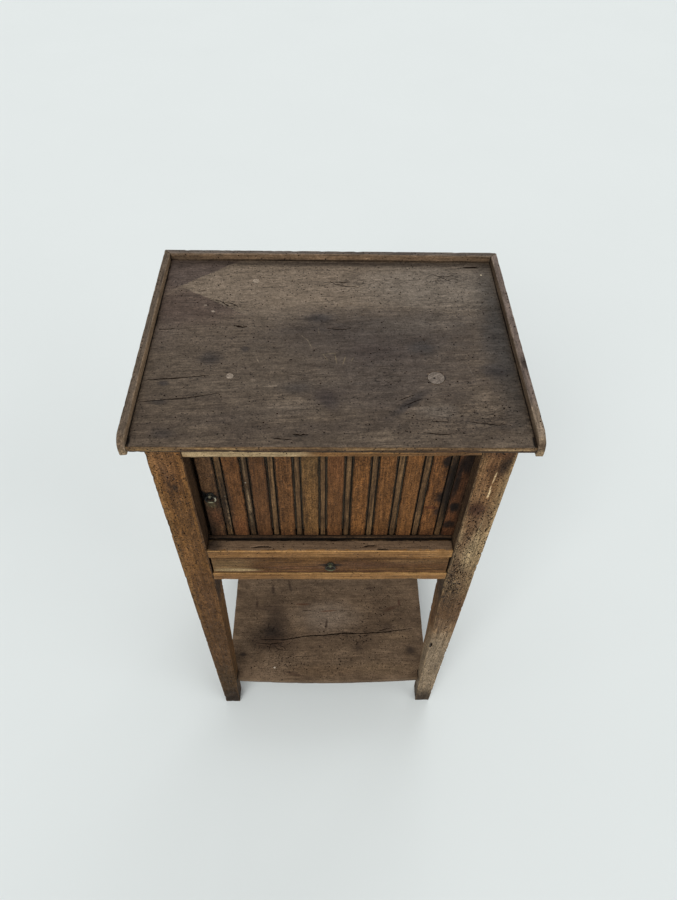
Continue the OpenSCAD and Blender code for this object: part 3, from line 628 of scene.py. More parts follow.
top_cracks = [
    (1.3, 4, -199, -64.5, -160, -61, -128, -56), (1.1, 4, -198, -96, -150, -90, -118, -83),
    (2.6, 3, -112, 24, -104, 21.5, -96, 22), (1.4, 2, 4, 106, 14, 105, 23, 108),
    (1.1, 2, -2, 108, 4, 102, 18, 98, 34, 96), (1.1, 2, 126, 123, 137, 116, 147, 109),
    (1, 2, 128, 120, 142, 119, 152, 122), (1.8, 2.5, -40, -139, -32, -140, -24, -138.5),
    (2.4, 3, 166, 138, 176, 138.6, 186, 138), (1.1, 1.5, -146, 72, -132, 68, -120, 58, -108, 61),
    (1, 1.5, -130, 66, -118, 64, -108, 56), (1, 1.2, -150, 88, -160, 86), (1.1, 1.5, -196, 16, -178, 18),
    (1.2, 2, 90, -136, 110, -139, 118, -138), (1.1, 2, 140, -122, 165, -126, 176, -125),
    (1, 1.5, 100, -121, 118, -122), (1.2, 1.5, -60, -144, -40, -146), (1.2, 1.2, -6, 20, 12, 18, 22, 20),
    (1, 1.2, 70, -92, 86, -84), (1, 1.2, 74, -100, 92, -90),
]
weather("top_board", top_wood, step=3.5, soft=0.9, wave=0.3, nick=1.8, nick_size=6, seed=3, cuts=[
    holes(TOP, 420, (-190, -150), (190, 145), 3.2, (0.4, 1.0), keep=top_density),
    cracks(TOP, top_cracks),
    holes((1, -156.8, -1), 34, (-198, 749.4), (198, 754), 4, (0.4, 0.8), (1.5, 3)),
])

# Gallery
LIP_TOP = (2, 764.8, 1)
for node, seed, top_tone, marks_and_light in (
        # The left gallery's mark lightens its inner face: painted light on a face that lies in shade
        ("gallery_left", 21, 0x584D42, [(-201, 0, 761, 1.6, 170, 5, 0x867058, 75, 30)]),
        ("gallery_right", 23, 0x6A5E58, [(207, -45, 764, 6, 9, 8, 0x281F1A, 80, 50),
                                         (205, -130, 764, 9, 26, 5, 0x847460, 60, 50)]),
        ("gallery_back", 26, 0x57504B, [])):
    spots = solid([
        (0, -156, 744, 400, 5, 8, 0x968060, 60, 50), (0, 0, 765, 400, 400, 1.6, top_tone, 80, 60),
        (-200.6, 0, 755, 1.8, 150, 1.3, 0x120E0C, 90, 40), (200.6, 0, 755, 1.8, 150, 1.3, 0x120E0C, 90, 40),
        (0, 149, 760, 201, 1.6, 9, 0x7C654E, 70, 40), (0, 149, 756.2, 201, 1.6, 1.2, 0x16110E, 80, 50),
        *marks_and_light])
    back = node == "gallery_back"
    tone = wood(
        node + "_wood", (0x5D4D3D, 0x3C3026, 0x766553), "x" if back else "y", blotch=0.4, bands=0.4,
        edge=0x7C6E5C, band_size=(60, 3), move=0.3 * seed, spots=spots, closed_at=2, mottle=0.25)
    if back:
        cuts = [holes((1, 149.1, -1), 26, (-195, 757), (195, 763), 4, (0.4, 0.9)),
                holes(LIP_TOP, 34, (-200, 151), (200, 155), 4)]
    else:
        way = -1 if node == "gallery_left" else 1
        cuts = [holes((0, way * 209 * 0.9995, way), 50, (-150, 745), (150, 763), 4),
                holes(LIP_TOP, 26, (way * 207 - 1, -150), (way * 207 + 1, 150), 4)]
    weather(node, tone, soft=1.0, nick=1.2, nick_size=6, seed=seed, cuts=cuts)


# Legs
def channels(count, low, high):
    """Short crooked worm channels at random places of a flat box."""
    found = []
    for x, z in spread(count, low, high, 5.0):
        long = rng.uniform(2.5, 8)
        lean, bend = rng.uniform(-0.6, 0.9), rng.uniform(-1.2, 1.2)
        found.append((rng.uniform(0.7, 1.4), rng.uniform(1, 2.2), x, z, x + lean * long * 0.5 + bend,
                      z + long * 0.5, x + lean * long, z + long))
    return found


def arris_nicks(inward, low, high, count):
    """Short cuts across a leg's front outer corner, at random heights."""
    found = []
    for z in np.sort(rng.uniform(low, high, count)):
        end = z + rng.uniform(-0.8, 0.8)
        found.append((rng.uniform(0.8, 1.5), rng.uniform(1.2, 2.4), -146.6, z, -146.6 + inward, end))
    return found


def left_density(x, z):
    """More worm holes along the outer edge and round the dark patch."""
    return 1.0 if x < -178 or 640 < z < 700 else 0.5


# The first, crisp row darkens the leg's inner side beside the curtain: painted shade
left_spots = solid([(-151.5, -128, 560, 2.5, 60, 260, 0x32251B, 85, 20)]) + upright([
    (-173, 676, 5, 44, 0x422E1E, 60, 80, -3), (-168, 704, 14, 36, 0x5C3C24, 50, 70),
    (-169, 674, 3, 5, 0x221912, 70, 70), (-170, 250, 30, 150, 0x47311C, 85, 60),
    (-172, 90, 30, 80, 0x392A18, 85, 70), (-172, 2, 30, 56, 0x241A12, 95, 70),
    (-168, 440, 30, 100, 0x53381C, 65, 70), (-178, 726, 16, 26, 0x785636, 70, 80),
    (-168, 420, 14, 60, 0x543A23, 60, 80), (-186, 560, 3.5, 200, 0x765734, 60, 60),
    (-164, 590, 8, 60, 0x543A22, 50, 80), (-178, 520, 6, 40, 0x6A4A2C, 50, 80),
])
# The first, crisp row darkens the leg's inner side beside the curtain: painted shade
right_spots = solid([(151.5, -128, 560, 2.5, 60, 260, 0x3A2B1F, 85, 20)]) + upright([
    (170, 520, 40, 108, 0x887354, 90, 35), (184, 630, 6, 110, 0x866E4E, 60, 80),
    (168, 548, 14, 40, 0x9E8867, 60, 80), (170, 480, 14, 40, 0x8C785A, 60, 80),
    (168, 385, 40, 56, 0x56402B, 90, 50), (172, 136, 40, 176, 0x7F6F5A, 88, 30),
    (164, 604, 9, 46, 0x583E2A, 80, 60), (180, 716, 7, 20, 0x2A1E15, 90, 60, 12),
    (172, 736, 20, 10, 0x543825, 80, 60), (164, 712, 7, 16, 0x563A26, 70, 70),
    (172.5, 693, 0.8, 10, 0xC4A880, 90, 40, 3), (172, 664, 1.2, 8, 0xD0B48A, 95, 35, 4),
    (171.4, 674, 0.7, 5, 0xC4A880, 80, 40, 3), (174.6, 592, 0.7, 20, 0xA8926E, 70, 50, 3),
    (162, 640, 7, 70, 0x6A4E34, 60, 60), (187, 600, 2.5, 130, 0x967E5C, 70, 60),
    (158, 476, 4, 50, 0x5C4834, 70, 60), (172, 4, 30, 44, 0x34291F, 92, 70),
    (164, 634, 13, 13, 0x42291B, 90, 60), (178, 606, 7, 22, 0x624832, 60, 80),
    (172, 476, 16, 26, 0x685038, 75, 80), (160, 510, 6, 34, 0x5C422D, 70, 80),
    (174, 446, 14, 14, 0x624B34, 70, 80), (160, 556, 6, 20, 0x624832, 60, 80),
    (160, 255, 2, 9, 0x1E1712, 90, 40),
])
# Each leg's name, colours, edge colour, nicks, least gnawing, stains with painted shade, gnawed patches and
# cuts
legs = (
    ("leg_front_left", (0x6D4B26, 0x412A17, 0x855E32), 0x7C5A36, 1.6, 0.66, left_spots,
     [(-170, -146, 676, 13, 40, 30, 80, 80), (-184, -146, 470, 6, 40, 260, 70, 80)], [
         holes(FRONT, 230, (-186, 12), (-155, 744), 3.6, (0.45, 0.95), keep=left_density),
         holes(LEFT, 70, (-143, 12), (-112, 740), 4, (0.4, 0.95)),
         cracks(FRONT, channels(14, (-184, 20), (-158, 720))),
         cracks(LEFT, arris_nicks(4.5, 430, 744, 24))]),
    ("leg_front_right", (0x705133, 0x48301F, 0x8A6E4C), 0x8E7654, 2.3, 0.69, right_spots,
     [(170, -146, 515, 30, 40, 104, 90, 50), (168, -146, 650, 26, 40, 70, 45, 80),
      (170, -146, 240, 30, 40, 220, 60, 70), (163, -146, 450, 15, 40, 76, 150, 60)], [
         holes(FRONT, 190, (155, 440), (186, 740), 3.2, (0.4, 1.0)),
         holes(FRONT, 100, (167, 12), (186, 430), 3.4, (0.3, 0.8)),
         holes(RIGHT, 90, (-143, 12), (-112, 740), 4, (0.4, 1.0)),
         cracks(FRONT, channels(84, (156, 430), (184, 630))),
         cracks(FRONT, channels(22, (168, 20), (183, 400))),
         cracks(FRONT, channels(26, (157, 400), (171, 540))),
         cracks(FRONT, [(2.2, 3, 160.5, 246, 161.5, 254, 160.8, 263)]),
         cracks(RIGHT, arris_nicks(4.0, 300, 740, 18))]),
    ("leg_back_left", (0x5E452E, 0x3E2D1F, 0x74583C), 0x765E42, 1.6, 0.66, [], [], [
        holes(LEFT, 60, (112, 12), (143, 740), 5), holes(REAR, 50, (-185, 12), (-156, 740), 5)]),
    ("leg_back_right", (0x60462E, 0x3E2D1F, 0x765A3E), 0x765E42, 1.6, 0.66, [], [], [
        holes(RIGHT, 60, (112, 12), (143, 740), 5), holes(REAR, 50, (156, 12), (185, 740), 5)]),
)
for i, (node, tones, edge, nick, least, spots, gnawed, cuts) in enumerate(legs):
    tone = wood(
        node + "_wood", tones, "z", bands=0.4, edge=edge, spots=spots, gnawed=gnawed, band_size=(80, 4),
        move=i * 0.13, mottle=0.34, mottle_size=(14, 6), streak=0.28, grit=0.7, dashes=0.85, dots=1.0,
        dot_cover=0.9, dot_reach=0.21, gnaw_size=(5.5, 2.0), gnaw_least=least)
    weather(node, tone, soft=0.9, wave=0.3, nick=nick, nick_size=6, seed=31 + i, cuts=cuts)

# Rails and boards
rails = (
    ("front_top_rail", 0x805C36, upright([
        (-92, 734, 66, 16, 0xA6906E, 90, 25), (-90, 726.6, 62, 2, 0x3C2E22, 60, 50),
        (120, 734, 40, 14, 0x60462E, 70, 60),
    ]), [holes(FRONT, 12, (-150, 730), (150, 745), 5)]),
    ("divider_rail", 0x805C36, solid([
        (0, -136, 543, 600, 9.6, 2.0, 0x6C5845, 97, 8), (-150, -138, 543, 16, 12, 6, 0x261F1A, 80, 60),
        (0, -129.4, 542, 600, 1.7, 3.0, 0x0A0807, 97, 20),
    ]) + upright([(0, 541.4, 400, 1.0, 0xAA8252, 70, 40)], ry=1.4), [
        holes(FRONT, 16, (-148, 528), (148, 540), 5), holes((2, 542, 1), 16, (-146, -143), (146, -131), 5),
        cracks((2, 542, 1), [
            (1.5, 3, -98, -141, -84, -139, -70, -140), (1.4, 3, 39, -140, 47, -138, 55, -137),
            (1.2, 2, 57, -142.4, 64, -143, 71, -143)])]),
    ("bottom_rail", 0x805C36, upright([
        (0, 485.4, 400, 1.2, 0xA47E4E, 70, 50), (-120, 474, 50, 8, 0x745434, 50, 60),
    ]), [holes(FRONT, 12, (-148, 472), (148, 484), 5)]),
    ("back_rail", 0x60462E, [], [holes(REAR, 12, (-148, 472), (148, 484), 5)]),
)
for i, (node, base, spots, cuts) in enumerate(rails):
    tone = wood(
        node + "_wood", (base, 0x583D24, 0x967246), move=0.2 * i, edge=0xA27E50, edge_share=0.3, spots=spots,
        band_size=(90, 2.4), mottle=0.2, streak=0.2, grit=0.3, fibre=0.22, dot_cover=0.7)
    weather(node, tone, soft=0.8, wave=0.2, nick=1.2, seed=51 + i, cuts=cuts)


def panel_cracks(low, high, count, standing=False):
    """Long thin shrinkage cracks along the grain of a panel."""
    found = []
    for a, b in spread(count, low, high, 24.0):
        long, lean = rng.uniform(24, 70), rng.uniform(-2.5, 2.5)
        row = [rng.uniform(0.7, 1.3), rng.uniform(1.2, 2.2)]
        for side, part in ((0.0, 0.0), (lean * 0.3, 0.35), (lean * 0.4, 0.7), (lean, 1.0)):
            row += (a + side, b + part * long) if standing else (a + part * long, b + side)
        found.append(row)
    return found


for i, node in enumerate(("side_panel_left", "side_panel_right", "back_board_upper", "back_board_lower")):
    side = node.startswith("side")
    lo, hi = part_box(node)
    seam = (lo if node.endswith("upper") else hi).z / MM
    spots = [] if side else solid([(0, 150, seam, 400, 30, 0.7, DIRT, 90, 30)])
    tone = wood(
        node + "_wood", (0x5B432D, 0x3C2C1E, 0x6F553B), "z" if side else "x", move=0.31 * i, spots=spots,
        blotch=0.55, bands=0.35, band_size=(120, 5), streak=0.12, mottle=0.26, mottle_size=(26, 9), grit=0.45,
        dots=0.9, dot_cover=0.7, hair=0.5)
    if side:
        way = 1 if lo.x > 0 else -1
        face = (0, (hi.x if way > 0 else lo.x) / MM - 0.2 * way, way)
        cuts = [holes(face, 90, (-104, 476), (104, 742), 5),
                cracks(face, panel_cracks((-96, 484), (96, 700), 5, True))]
    else:
        low, high = lo.z / MM + 6, hi.z / MM - 8
        face = (1, hi.y / MM - 0.2, 1)
        cuts = [holes(face, 80, (-145, low), (145, high), 5),
                cracks(face, panel_cracks((-140, low), (80, high), 4))]
    weather(node, tone, step=6, soft=0.5, wave=0.3, seed=61 + i, cuts=cuts, still=2)
tone = wood(
    "floor_board_wood", (0x423122, 0x281E16, 0x584430),
    spots=solid([(0, -129, 540.4, 600, 2.6, 4.2, 0x080605, 98, 15)]))
weather("floor_board", tone, step=8, soft=0.5, wave=0.15, seed=71)

# Shelf
SOOT = 0x241C17
SHELF_TOP = 86
shelf_spots = level([
    (-109, -55, 34, 20, 0x30261E, 65, 90, 20), (-98, -22, 18, 34, 0x32271F, 70, 90, 6),
    (-106, -50, 14, 12, 0x1A1411, 70, 90), (-104, -70, 30, 12, 0x3A2A1E, 70, 90),
    (-154, -91, 6, 4, SOOT, 80, 60), (150, -84, 9, 7, SOOT, 85, 80), (110, -42, 12, 9, 0x362A22, 70, 70),
    (57, -80, 10, 9, 0x382C22, 70, 70), (0, -18, 50, 26, 0x726456, 70, 70),
    (100, -118, 50, 12, 0x6B5843, 70, 70), (-10, -122, 60, 10, 0x624E3A, 60, 70),
    (126, -58, 26, 8, 0x705C46, 50, 70), (-95.8, -116, 1.8, 1.5, 0xC4B8A6, 95, 30),
    (-135, 8, 2.5, 7, 0x34261C, 80, 70), (-106, 38, 3, 9, 0x30241C, 80, 60, 8),
    (-74, 45, 2.4, 12, 0x342820, 80, 60, 12), (82, 40, 8, 2.4, 0x32241C, 80, 60),
    (136, 9, 2, 7, 0x3C261C, 80, 60), (-48, 7, 12, 1.8, 0x462C1E, 80, 60),
    (-3, -33, 2, 8, 0x2E231C, 85, 60, -8), (0, -7, 14, 1.4, 0x503222, 70, 60, 4),
    (-60, -128, 14, 3, 0x38281E, 70, 70, -16), (120, 120, 60, 20, 0x463A2E, 60, 80),
    (0, 60, 120, 30, 0x605040, 50, 80), (120, -2, 12, 3, 0x422A1E, 60, 70, 20),
    (-120, -2, 26, 6, 0x46372B, 60, 80),
], SHELF_TOP)
shelf_gnawed = [
    (-104, -56, SHELF_TOP, 46, 34, 30, 100, 90), (-84, -100, SHELF_TOP, 40, 30, 30, 90, 90),
    (48, -58, SHELF_TOP, 34, 20, 30, 90, 90), (-20, -104, SHELF_TOP, 150, 26, 30, 50, 90),
    (110, -20, SHELF_TOP, 50, 50, 30, 60, 90), (-60, 40, SHELF_TOP, 90, 40, 30, 40, 90),
    (60, -30, SHELF_TOP, 60, 30, 30, 50, 90),
]
shelf_cracks = [
    (2, 6, -125, -63, -83, -64, -43, -57, -6, -55, 28, -51, 61, -52, 106, -49.5, 157, -42.5),
    (1.4, 2, 56, -55, 61, -58, 59, -63), (1.2, 1.5, 50, -66, 54, -69, 51, -75),
    (1.2, 1.5, 66, -56, 72, -58), (1.4, 2, 92, -48, 112, -42), (0.9, 1.2, -60, -96, -20, -94),
    (0.9, 1.2, -48, -6, -30, -5), (1.4, 2, -128, -70, -104, -72, -84, -69),
    (0.8, 1.2, -100, -71, -94, -80, -80, -84), (0.8, 1.2, -106, -73, -107, -82, -103, -88),
    (0.8, 1.2, -92, -73, -82, -77, -76, -84), (0.7, 1.2, -88, -92, -90, -99),
    (0.8, 1.2, -104, -48, -100, -38), (0.8, 1.2, -112, -42, -110, -30), (0.8, 1.2, -120, -52, -128, -46),
]


def shelf_density(x, y):
    """Worm holes crowd below the stain, along the crack's right half and at the back right."""
    near = min(math.hypot((x + 88) / 34, (y + 92) / 26), math.hypot((x - 46) / 30, (y + 58) / 16),
               math.hypot((x - 100) / 50, (y - 10) / 40), math.hypot((x + 30) / 90, (y + 108) / 14))
    return 1.0 if near < 1 else 0.25


def fill_notches(bm):
    """Brings the sides of the shelf's front and back parts close to the legs."""
    ends = max(abs(v.co.x) for v in bm.verts if abs(v.co.y) > 128 * MM)
    for v in bm.verts:
        if abs(abs(v.co.x) - ends) < 0.4 * MM:
            v.co.x += math.copysign(2.6 * MM, v.co.x)


tone = wood(
    "lower_shelf_wood", (0x5D4C3B, 0x423428, 0x74614E), edge=0x74604A, spots=shelf_spots, gnawed=shelf_gnawed,
    band_size=(80, 10), mottle=0.26, mottle_size=(22, 12), streak=0.08, fibre=0.2, bands=0.15, hair=0.2,
    corner_dirt_and_shade=0.7, gnaw_size=(4.5, 2.0), gnaw_least=0.65, dot_reach=0.21)
weather("lower_shelf", tone, nick=0.8, seed=73, fit=fill_notches, cuts=[
    holes((2, 85.8, 1), 230, (-150, -128), (150, 130), 3.4, (0.5, 1.3), keep=shelf_density),
    cracks((2, 85.8, 1), shelf_cracks)])

# Drawer
# Round the pull, the dark wings at z 506 are painted shadow with dirt, and the dark patch at z 500 behind the
# ring is painted shadow
drawer_spots = upright([
    (-132, 504, 30, 16, 0x665034, 85, 50), (-122, 493, 28, 4.2, 0x98825E, 80, 50),
    (-126, 517, 34, 3, 0x5C462E, 70, 70), (40, 506, 110, 8, 0x503624, 60, 70),
    (-40, 498, 60, 4, 0x4E3222, 60, 70, 2), (0, 506, 15, 3.5, 0x181310, 90, 50),
    (110, 514, 40, 5, 0x6A5034, 60, 70), (0, 500, 7, 8, 0x16120F, 90, 40),
    (0, 489, 150, 1.6, 0x48281C, 80, 60),
], -144.6)
tone = wood(
    "drawer_front_wood", (0x5B3E1F, 0x3E2817, 0x725230), move=0.9, edge=0x7E5E3A, edge_share=0.3,
    spots=drawer_spots, band_size=(80, 2.4), mottle=0.26, grit=0.4, dot_cover=0.7)
weather("drawer_front", tone, wave=0.15, nick=0.8, seed=81, cuts=[
    holes((1, -144.4, -1), 16, (-146, 490), (146, 522), 6)])
for name, axis, inside in (
        ("inner_wood", "x", ("drawer_back", "drawer_bottom", "head_board")),
        ("inner_wood_deep", "y", ("drawer_side_left", "drawer_side_right", "drawer_runner_left",
                                  "drawer_runner_right", "drawer_guide_left", "drawer_guide_right"))):
    tone = wood(name, (0x765C3E, 0x543E2A, 0x927856), axis, painted=False)
    for node in inside:
        dress(node, tone)

# Curtain, with its front face's y
FACE = -125.2
slat_tones = (0x523A25, 0x5C3C21, 0x52361F, 0x604024, 0x624628, 0x634124, 0x664323, 0x674424,
              0x6E4927, 0x644123, 0x54341E)
slat_x = [sum(corner.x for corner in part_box(f"slat_{i + 1}")) / 2 / MM for i in range(11)]
slat_spots = {
    # Slat 1's first two black patches round the curtain pull are painted shadow with dirt
    1: [(-142, 628, 11.5, 6.4, 0x060504, 99, 20), (-147, 631, 6, 9, 0x060504, 98, 40),
        (-139, 612, 5, 5, 0x544C36, 60, 49), (-138, 616, 12, 16, 0x281E16, 75, 90),
        (-136, 586, 10, 16, 0x4E2E1C, 60, 80), (-146, 560, 7, 30, 0x1E1610, 80, 90),
        (-136, 722, 12, 16, 0x423020, 60, 90)],
    2: [(-110, 568, 12, 16, 0x5E3A23, 60, 80), (-118, 610, 4, 40, 0x2E2117, 60, 90)],
    5: [(slat_x[4], 700, 12, 40, 0x5E4A2F, 40, 90)],
    6: [(slat_x[5], 690, 10, 30, 0x623E25, 40, 90)],
    9: [(slat_x[8], 716, 9, 10, 0x3C281A, 50, 90)],
    10: [(126, 695, 8, 10, 0x160E0A, 95, 45), (127, 628, 7.5, 11, 0x1A110C, 92, 45),
        (117, 607, 8, 3, 0x4A2615, 80, 49), (128.5, 598, 7, 9, 0x281A12, 85, 49),
        (124, 724, 10, 7, 0x2C1E15, 80, 80)],
    11: [(149.4, 694, 9, 22, 0x140D0A, 95, 42), (145, 608, 6.5, 9.5, 0x100B08, 95, 40),
        (144.3, 571, 8, 8, 0x1A120D, 92, 45), (155, 620, 5, 90, 0x241A12, 80, 80),
        (141, 662, 3.2, 34, 0x120C09, 90, 45)],
}
slat_gnawed = {
    1: [(-131, FACE, 620, 5, 20, 90, 100, 80)], 2: [(-124, FACE, 610, 8, 20, 80, 90, 80)],
    3: [(-96, FACE, 590, 5, 20, 50, 80, 80)], 10: [(128, FACE, 650, 6, 20, 90, 90, 80)],
    11: [(142, FACE, 640, 8, 20, 100, 60, 80)],
}
for i, base in enumerate(slat_tones):
    node, x = f"slat_{i + 1}", slat_x[i]
    # Each slat is painted darker at its top, the shadow under the top rail, and darker near its foot
    rows = [(x, 736, 14, 10, 0x261B13, 60, 90), (x, 547, 14, 8, 0x42281A, 50, 90), *slat_spots.get(i + 1, [])]
    # Everything deeper than the front face is painted near black: the shade on the slats' sides in the gaps
    spots = upright(rows, FACE) + solid([(0, FACE + 5.6, 640, 400, 3.7, 400, 0x080605, 97, 10)])
    # The slats' edges are painted near black as well: the same shade of the gaps
    tone = wood(
        node + "_wood", base, "z", edge=0x0C0806, edge_share=0.95, edge_from=0.86 if i < 4 else 0.89,
        edge_to=0.97, corner_dirt_and_shade=0.85, closed_at=1.5, band_size=(50, 3), bands=0.3, move=0.17 * i, spots=spots,
        gnawed=slat_gnawed.get(i + 1, ()), grit=0.7, mottle=0.3, mottle_size=(13, 6), streak=0.15, dots=0.95,
        dot_cover=0.85, dot_size=4)
    weather(node, tone, soft=0.5, wave=0.15, nick=0.6, seed=91 + i, cuts=[
        holes((1, FACE + 0.2, -1), 7, (x - 6.5, 552), (x + 6.5, 726), 6, (0.35, 0.8), (1.2, 2.4))])
# The beads' stains and pale specks; the last row paints everything deeper than the curtain's face near black,
# the shade in the gaps
bead_spots = upright([
    (-122, 618, 6, 60, 0x2C221A, 65, 49), (-95, 640, 5, 90, 0x382B1F, 60, 49),
    (-121.5, 590, 1.5, 26, 0x887054, 85, 50), (-95.5, 606, 1.4, 34, 0x887256, 80, 50),
    (-96, 690, 1.0, 24, 0x705C44, 60, 60), (136, 644, 7, 64, 0x100B09, 93, 40),
    (-121.9, 628.4, 1.0, 0.9, 0x968E7C, 90, 30), (-96.4, 654.6, 1.1, 0.9, 0xA49C8C, 90, 30),
    (-99.5, 700, 0.9, 0.8, 0x968E7C, 80, 30), (136.6, 634, 0.9, 1.4, 0x968E80, 80, 30),
], FACE) + solid([(0, FACE + 5.6, 640, 400, 4.2, 400, 0x0C0806, 96, 6)])
bead_gnawed = [(-122, FACE, 600, 6, 20, 80, 130, 60), (-95, FACE, 600, 6, 20, 60, 120, 80),
              (132, FACE, 640, 7, 20, 100, 90, 80)]
tone = wood(
    "bead_wood", (0x59422A, 0x38281A, 0x705639), "z", corner_dirt_and_shade=0.7, closed_at=1.5, band_size=(50, 2.5),
    spots=bead_spots, gnawed=bead_gnawed, grit=0.45, dot_cover=0.8, dot_size=4)
for node in ("lead_beads", "corner_bead_first", "corner_bead_last", "tail_beads"):
    weather(node, tone, soft=0, wave=0.12, nick=0.0, seed=111)

# Plugs, nails and pulls
plug_spots = level([
    (-109, -58, 7, 7, 0x8C7F72, 85, 30), (-92, 107, 7, 7, 0x968878, 85, 30),
    (109, -59.5, 1.3, 1.3, 0x100C0A, 95, 30), (114, -62, 0.5, 4, 0x463C34, 60, 50, 30),
])
tone = wood(
    "plug_wood", (0x70665D, 0x60564E, 0x7E7368), tilt=(0, 0, 0.6), blotch=0.15, bands=0.3, band_size=(20, 2),
    mottle=0.15, dots=0.3, hair=0.0, corner_dirt_and_shade=0.4, closed_at=1, spots=plug_spots, painted=False)
dress("top_plugs", tone)
dress("shelf_dowels", wood("dowel_wood", (0x463628, 0x32261C, 0x5A4634), "z", painted=False))


def metal(name, base, patina, share, rough, glints=()):
    """Old metal with a patina, dirt and glints, whose rows are x, y, z, three radii and a colour."""
    s = Shade(name)
    wear, fine = s.lumps([3] * 3, 4, 0.6), s.lumps([0.7] * 3, 3, 0.6)
    colour = s.tint(rgb(base), rgb(patina), wear, 0.42, 0.62, share)
    colour = s.tint(colour, rgb(DIRT), fine, 0.55, 0.75, 0.4)
    for *place, tone in glints:
        bright = s.spot(place[:3], place[3:], NO, 0.5, s.ramp(fine, 0.3, 0.7, -0.75, 0.75))
        colour = s.mix(s.mul(bright, 0.85), colour, rgb(tone))
    return s.finish(colour, s.ramp(fine, 0.3, 0.7, rough, rough + 0.3), height=fine, bump=0.4,
                    metal=s.ramp(wear, 0.6, 0.4, 0.2, 0.75))


for kept, *look in (
        (("gallery_nails", "back_nails"), "nail_iron", 0x463E38, 0x42281A, 0.8, 0.5),
        (("drawer_stud", "drawer_ring"), "pull_metal", 0x322D1E, 0x12140F, 0.85, 0.45, [
            (0, -150, 498, 5, 5, 3, 0x606246), (0, -150, 510, 2.5, 6, 2, 0x54563E)]),
        (("curtain_stud", "curtain_ring"), "curtain_pull_metal", 0x181611, 0x0C0C0A, 0.9, 0.5, [
            (-139, -128, 620.5, 6, 6, 2.6, 0x969274), (-132.4, -128, 628, 2.2, 6, 3.6, 0xB0AA94),
            (-138.3, -130, 634, 1.6, 6, 1.6, 0x6E6852)])):
    tone = metal(*look)
    for node in kept:
        dress(node, tone)

# Canvas behind the curtain
s = Shade("canvas_cloth")
warp, weft = [s.node("ShaderNodeTexWave", {"Vector": s.place, "Scale": 260}, wave_type="BANDS",
                     bands_direction=axis).outputs["Fac"] for axis in "ZX"]
weave, age = s.mul(warp, weft), s.lumps([25] * 3, 4, 0.6)
colour = s.tint(rgb(0x605646), rgb(0x968A74), weave, 0.0, 0.7, 1.0)
colour = s.tint(colour, rgb(0x68543C), age, 0.4, 0.7, 0.6)
cloth = s.finish(colour, s.ramp(age, 0.3, 0.7, 0.85, 0.95), height=weave)

# Each length of canvas: its name, the CAD nodes it replaces, its bodies and what it rests on
for name, replaced, bodies, rests_on in (
        ("canvas_front", ["canvas_lead", "canvas_corner_first"], ["curtain_front", "curtain_corner_first"],
         ["slat_1_worn", "slat_6_worn"]),
        ("canvas_turn", ["canvas_corner_middle", "canvas_corner_last"],
         ["curtain_corner_middle", "curtain_corner_last"], ["slat_7_worn"]),
        ("canvas_rear", ["canvas_tail"], ["curtain_tail"], ["slat_8_worn", "slat_11_worn"])):
    lo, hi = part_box(replaced[0])[0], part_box(replaced[-1])[1]
    wide, tall = hi.x - lo.x, hi.z - lo.z
    across, up = max(2, round(wide / 0.003)), round(tall / 0.006)
    points = [(lo.x + wide * i / across, (lo.y + hi.y) / 2, lo.z + tall * k / up)
              for i in range(across + 1) for k in range(up + 1)]
    corners = [i * (up + 1) + k for i in range(across) for k in range(up)]
    me = bpy.data.meshes.new(name)
    me.from_pydata(points, [], [(c, c + up + 1, c + up + 2, c + 1) for c in corners])
    obj = add(name, me)
    thick = obj.modifiers.new("thickness", "SOLIDIFY")
    thick.thickness, thick.offset = 0.25 * MM, 0
    me.materials.append(cloth)
    me.shade_smooth()
    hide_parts(*replaced)
    if len(bodies) == 2:
        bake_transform(obj)
    else:
        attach(obj, bodies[0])

# Floor, light and camera
s = Shade("studio_floor")
s.finish(s.mix(s.lumps([400] * 3), rgb(0xDCE2E2), rgb(0xDFE5E5)), 0.9, 0.1)
HALF = 9.0
me = bpy.data.meshes.new("floor")
me.from_pydata([(-HALF, -HALF, 0), (HALF, -HALF, 0), (HALF, HALF, 0), (-HALF, HALF, 0)], [], [(0, 1, 2, 3)])
me.materials.append(s.mat)
add("floor", me)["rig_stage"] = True

world = bpy.data.worlds.new("studio")
bpy.context.scene.world = world
world.use_nodes = True
sky, link = world.node_tree.nodes, world.node_tree.links.new
ambient, seen = sky["Background"], sky.new("ShaderNodeBackground")
ambient.inputs["Color"].default_value = (1.0, 1.0, 1.0, 1.0)
ambient.inputs["Strength"].default_value = 0.5
seen.inputs["Color"].default_value = rgb(0xE4E9E9)
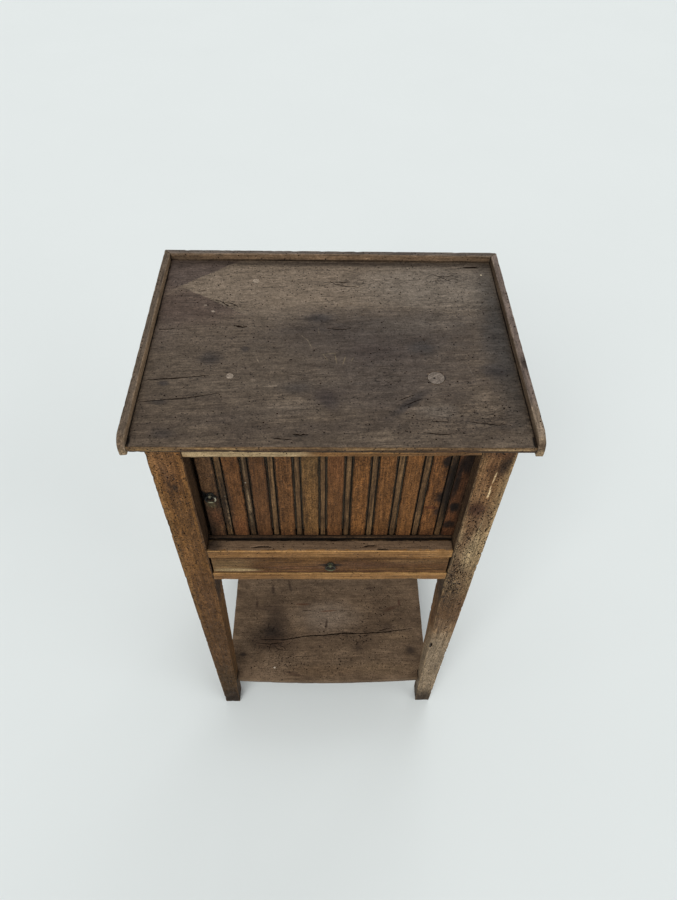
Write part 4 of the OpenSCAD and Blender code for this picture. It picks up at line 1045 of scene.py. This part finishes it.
rays = sky.new("ShaderNodeLightPath").outputs
looks = rays["Is Camera Ray"]
for kind in ("Is Glossy Ray", "Is Transmission Ray"):
    either = sky.new("ShaderNodeMath")
    either.operation = "MAXIMUM"
    link(looks, either.inputs[0])
    link(rays[kind], either.inputs[1])
    looks = either.outputs[0]
shown = sky.new("ShaderNodeMixShader")
for i, socket in enumerate((looks, ambient.outputs[0], seen.outputs[0])):
    link(socket, shown.inputs[i])
link(shown.outputs[0], sky["World Output"].inputs["Surface"])

# Far soft lights: name, the way they shine, their angle in degrees, strength and colour
for name, way, angle, strength, tone in (("key", (0.8, 1.8, -1.9), 36, 1.62, (1.0, 0.99, 0.97)),
                                         ("fill", (-1.8, 1.2, -1.2), 40, 0.6, (1.0, 1.0, 1.0)),
                                         ("back", (-0.6, -2.0, -1.6), 40, 0.55, (1.0, 1.0, 1.0))):
    sun = bpy.data.lights.new(name, "SUN")
    sun.angle, sun.energy, sun.color = math.radians(angle), strength, tone
    add(name, sun).rotation_euler = Vector(way).to_track_quat("-Z", "Y").to_euler()

# The photograph's camera: turns in degrees, place in m, focal length and height in pixels, sensor in mm
PITCH, YAW, ROLL = (math.radians(a) for a in (50.768, -2.017, 1.725))
EYE = (-0.0089, -0.5649, 1.2529)
FOCAL, TALL, SENSOR = 662.27, 900, 36
ahead = Vector((-math.sin(YAW) * math.cos(PITCH), math.cos(YAW) * math.cos(PITCH), -math.sin(PITCH)))
right = Vector((math.cos(YAW), math.sin(YAW), 0))
up = right.cross(ahead)
rolled_right = right * math.cos(ROLL) + up * math.sin(ROLL)
rolled_up = up * math.cos(ROLL) - right * math.sin(ROLL)
data = bpy.data.cameras.new("camera")
data.sensor_width = SENSOR
data.lens = SENSOR * FOCAL / TALL
camera = add("camera", data)
turned = Matrix((rolled_right, rolled_up, -ahead)).transposed().to_4x4()
camera.matrix_world = Matrix.Translation(EYE) @ turned
bpy.context.scene.camera = camera
bpy.context.scene.view_settings.view_transform = "Standard"

lo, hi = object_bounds()
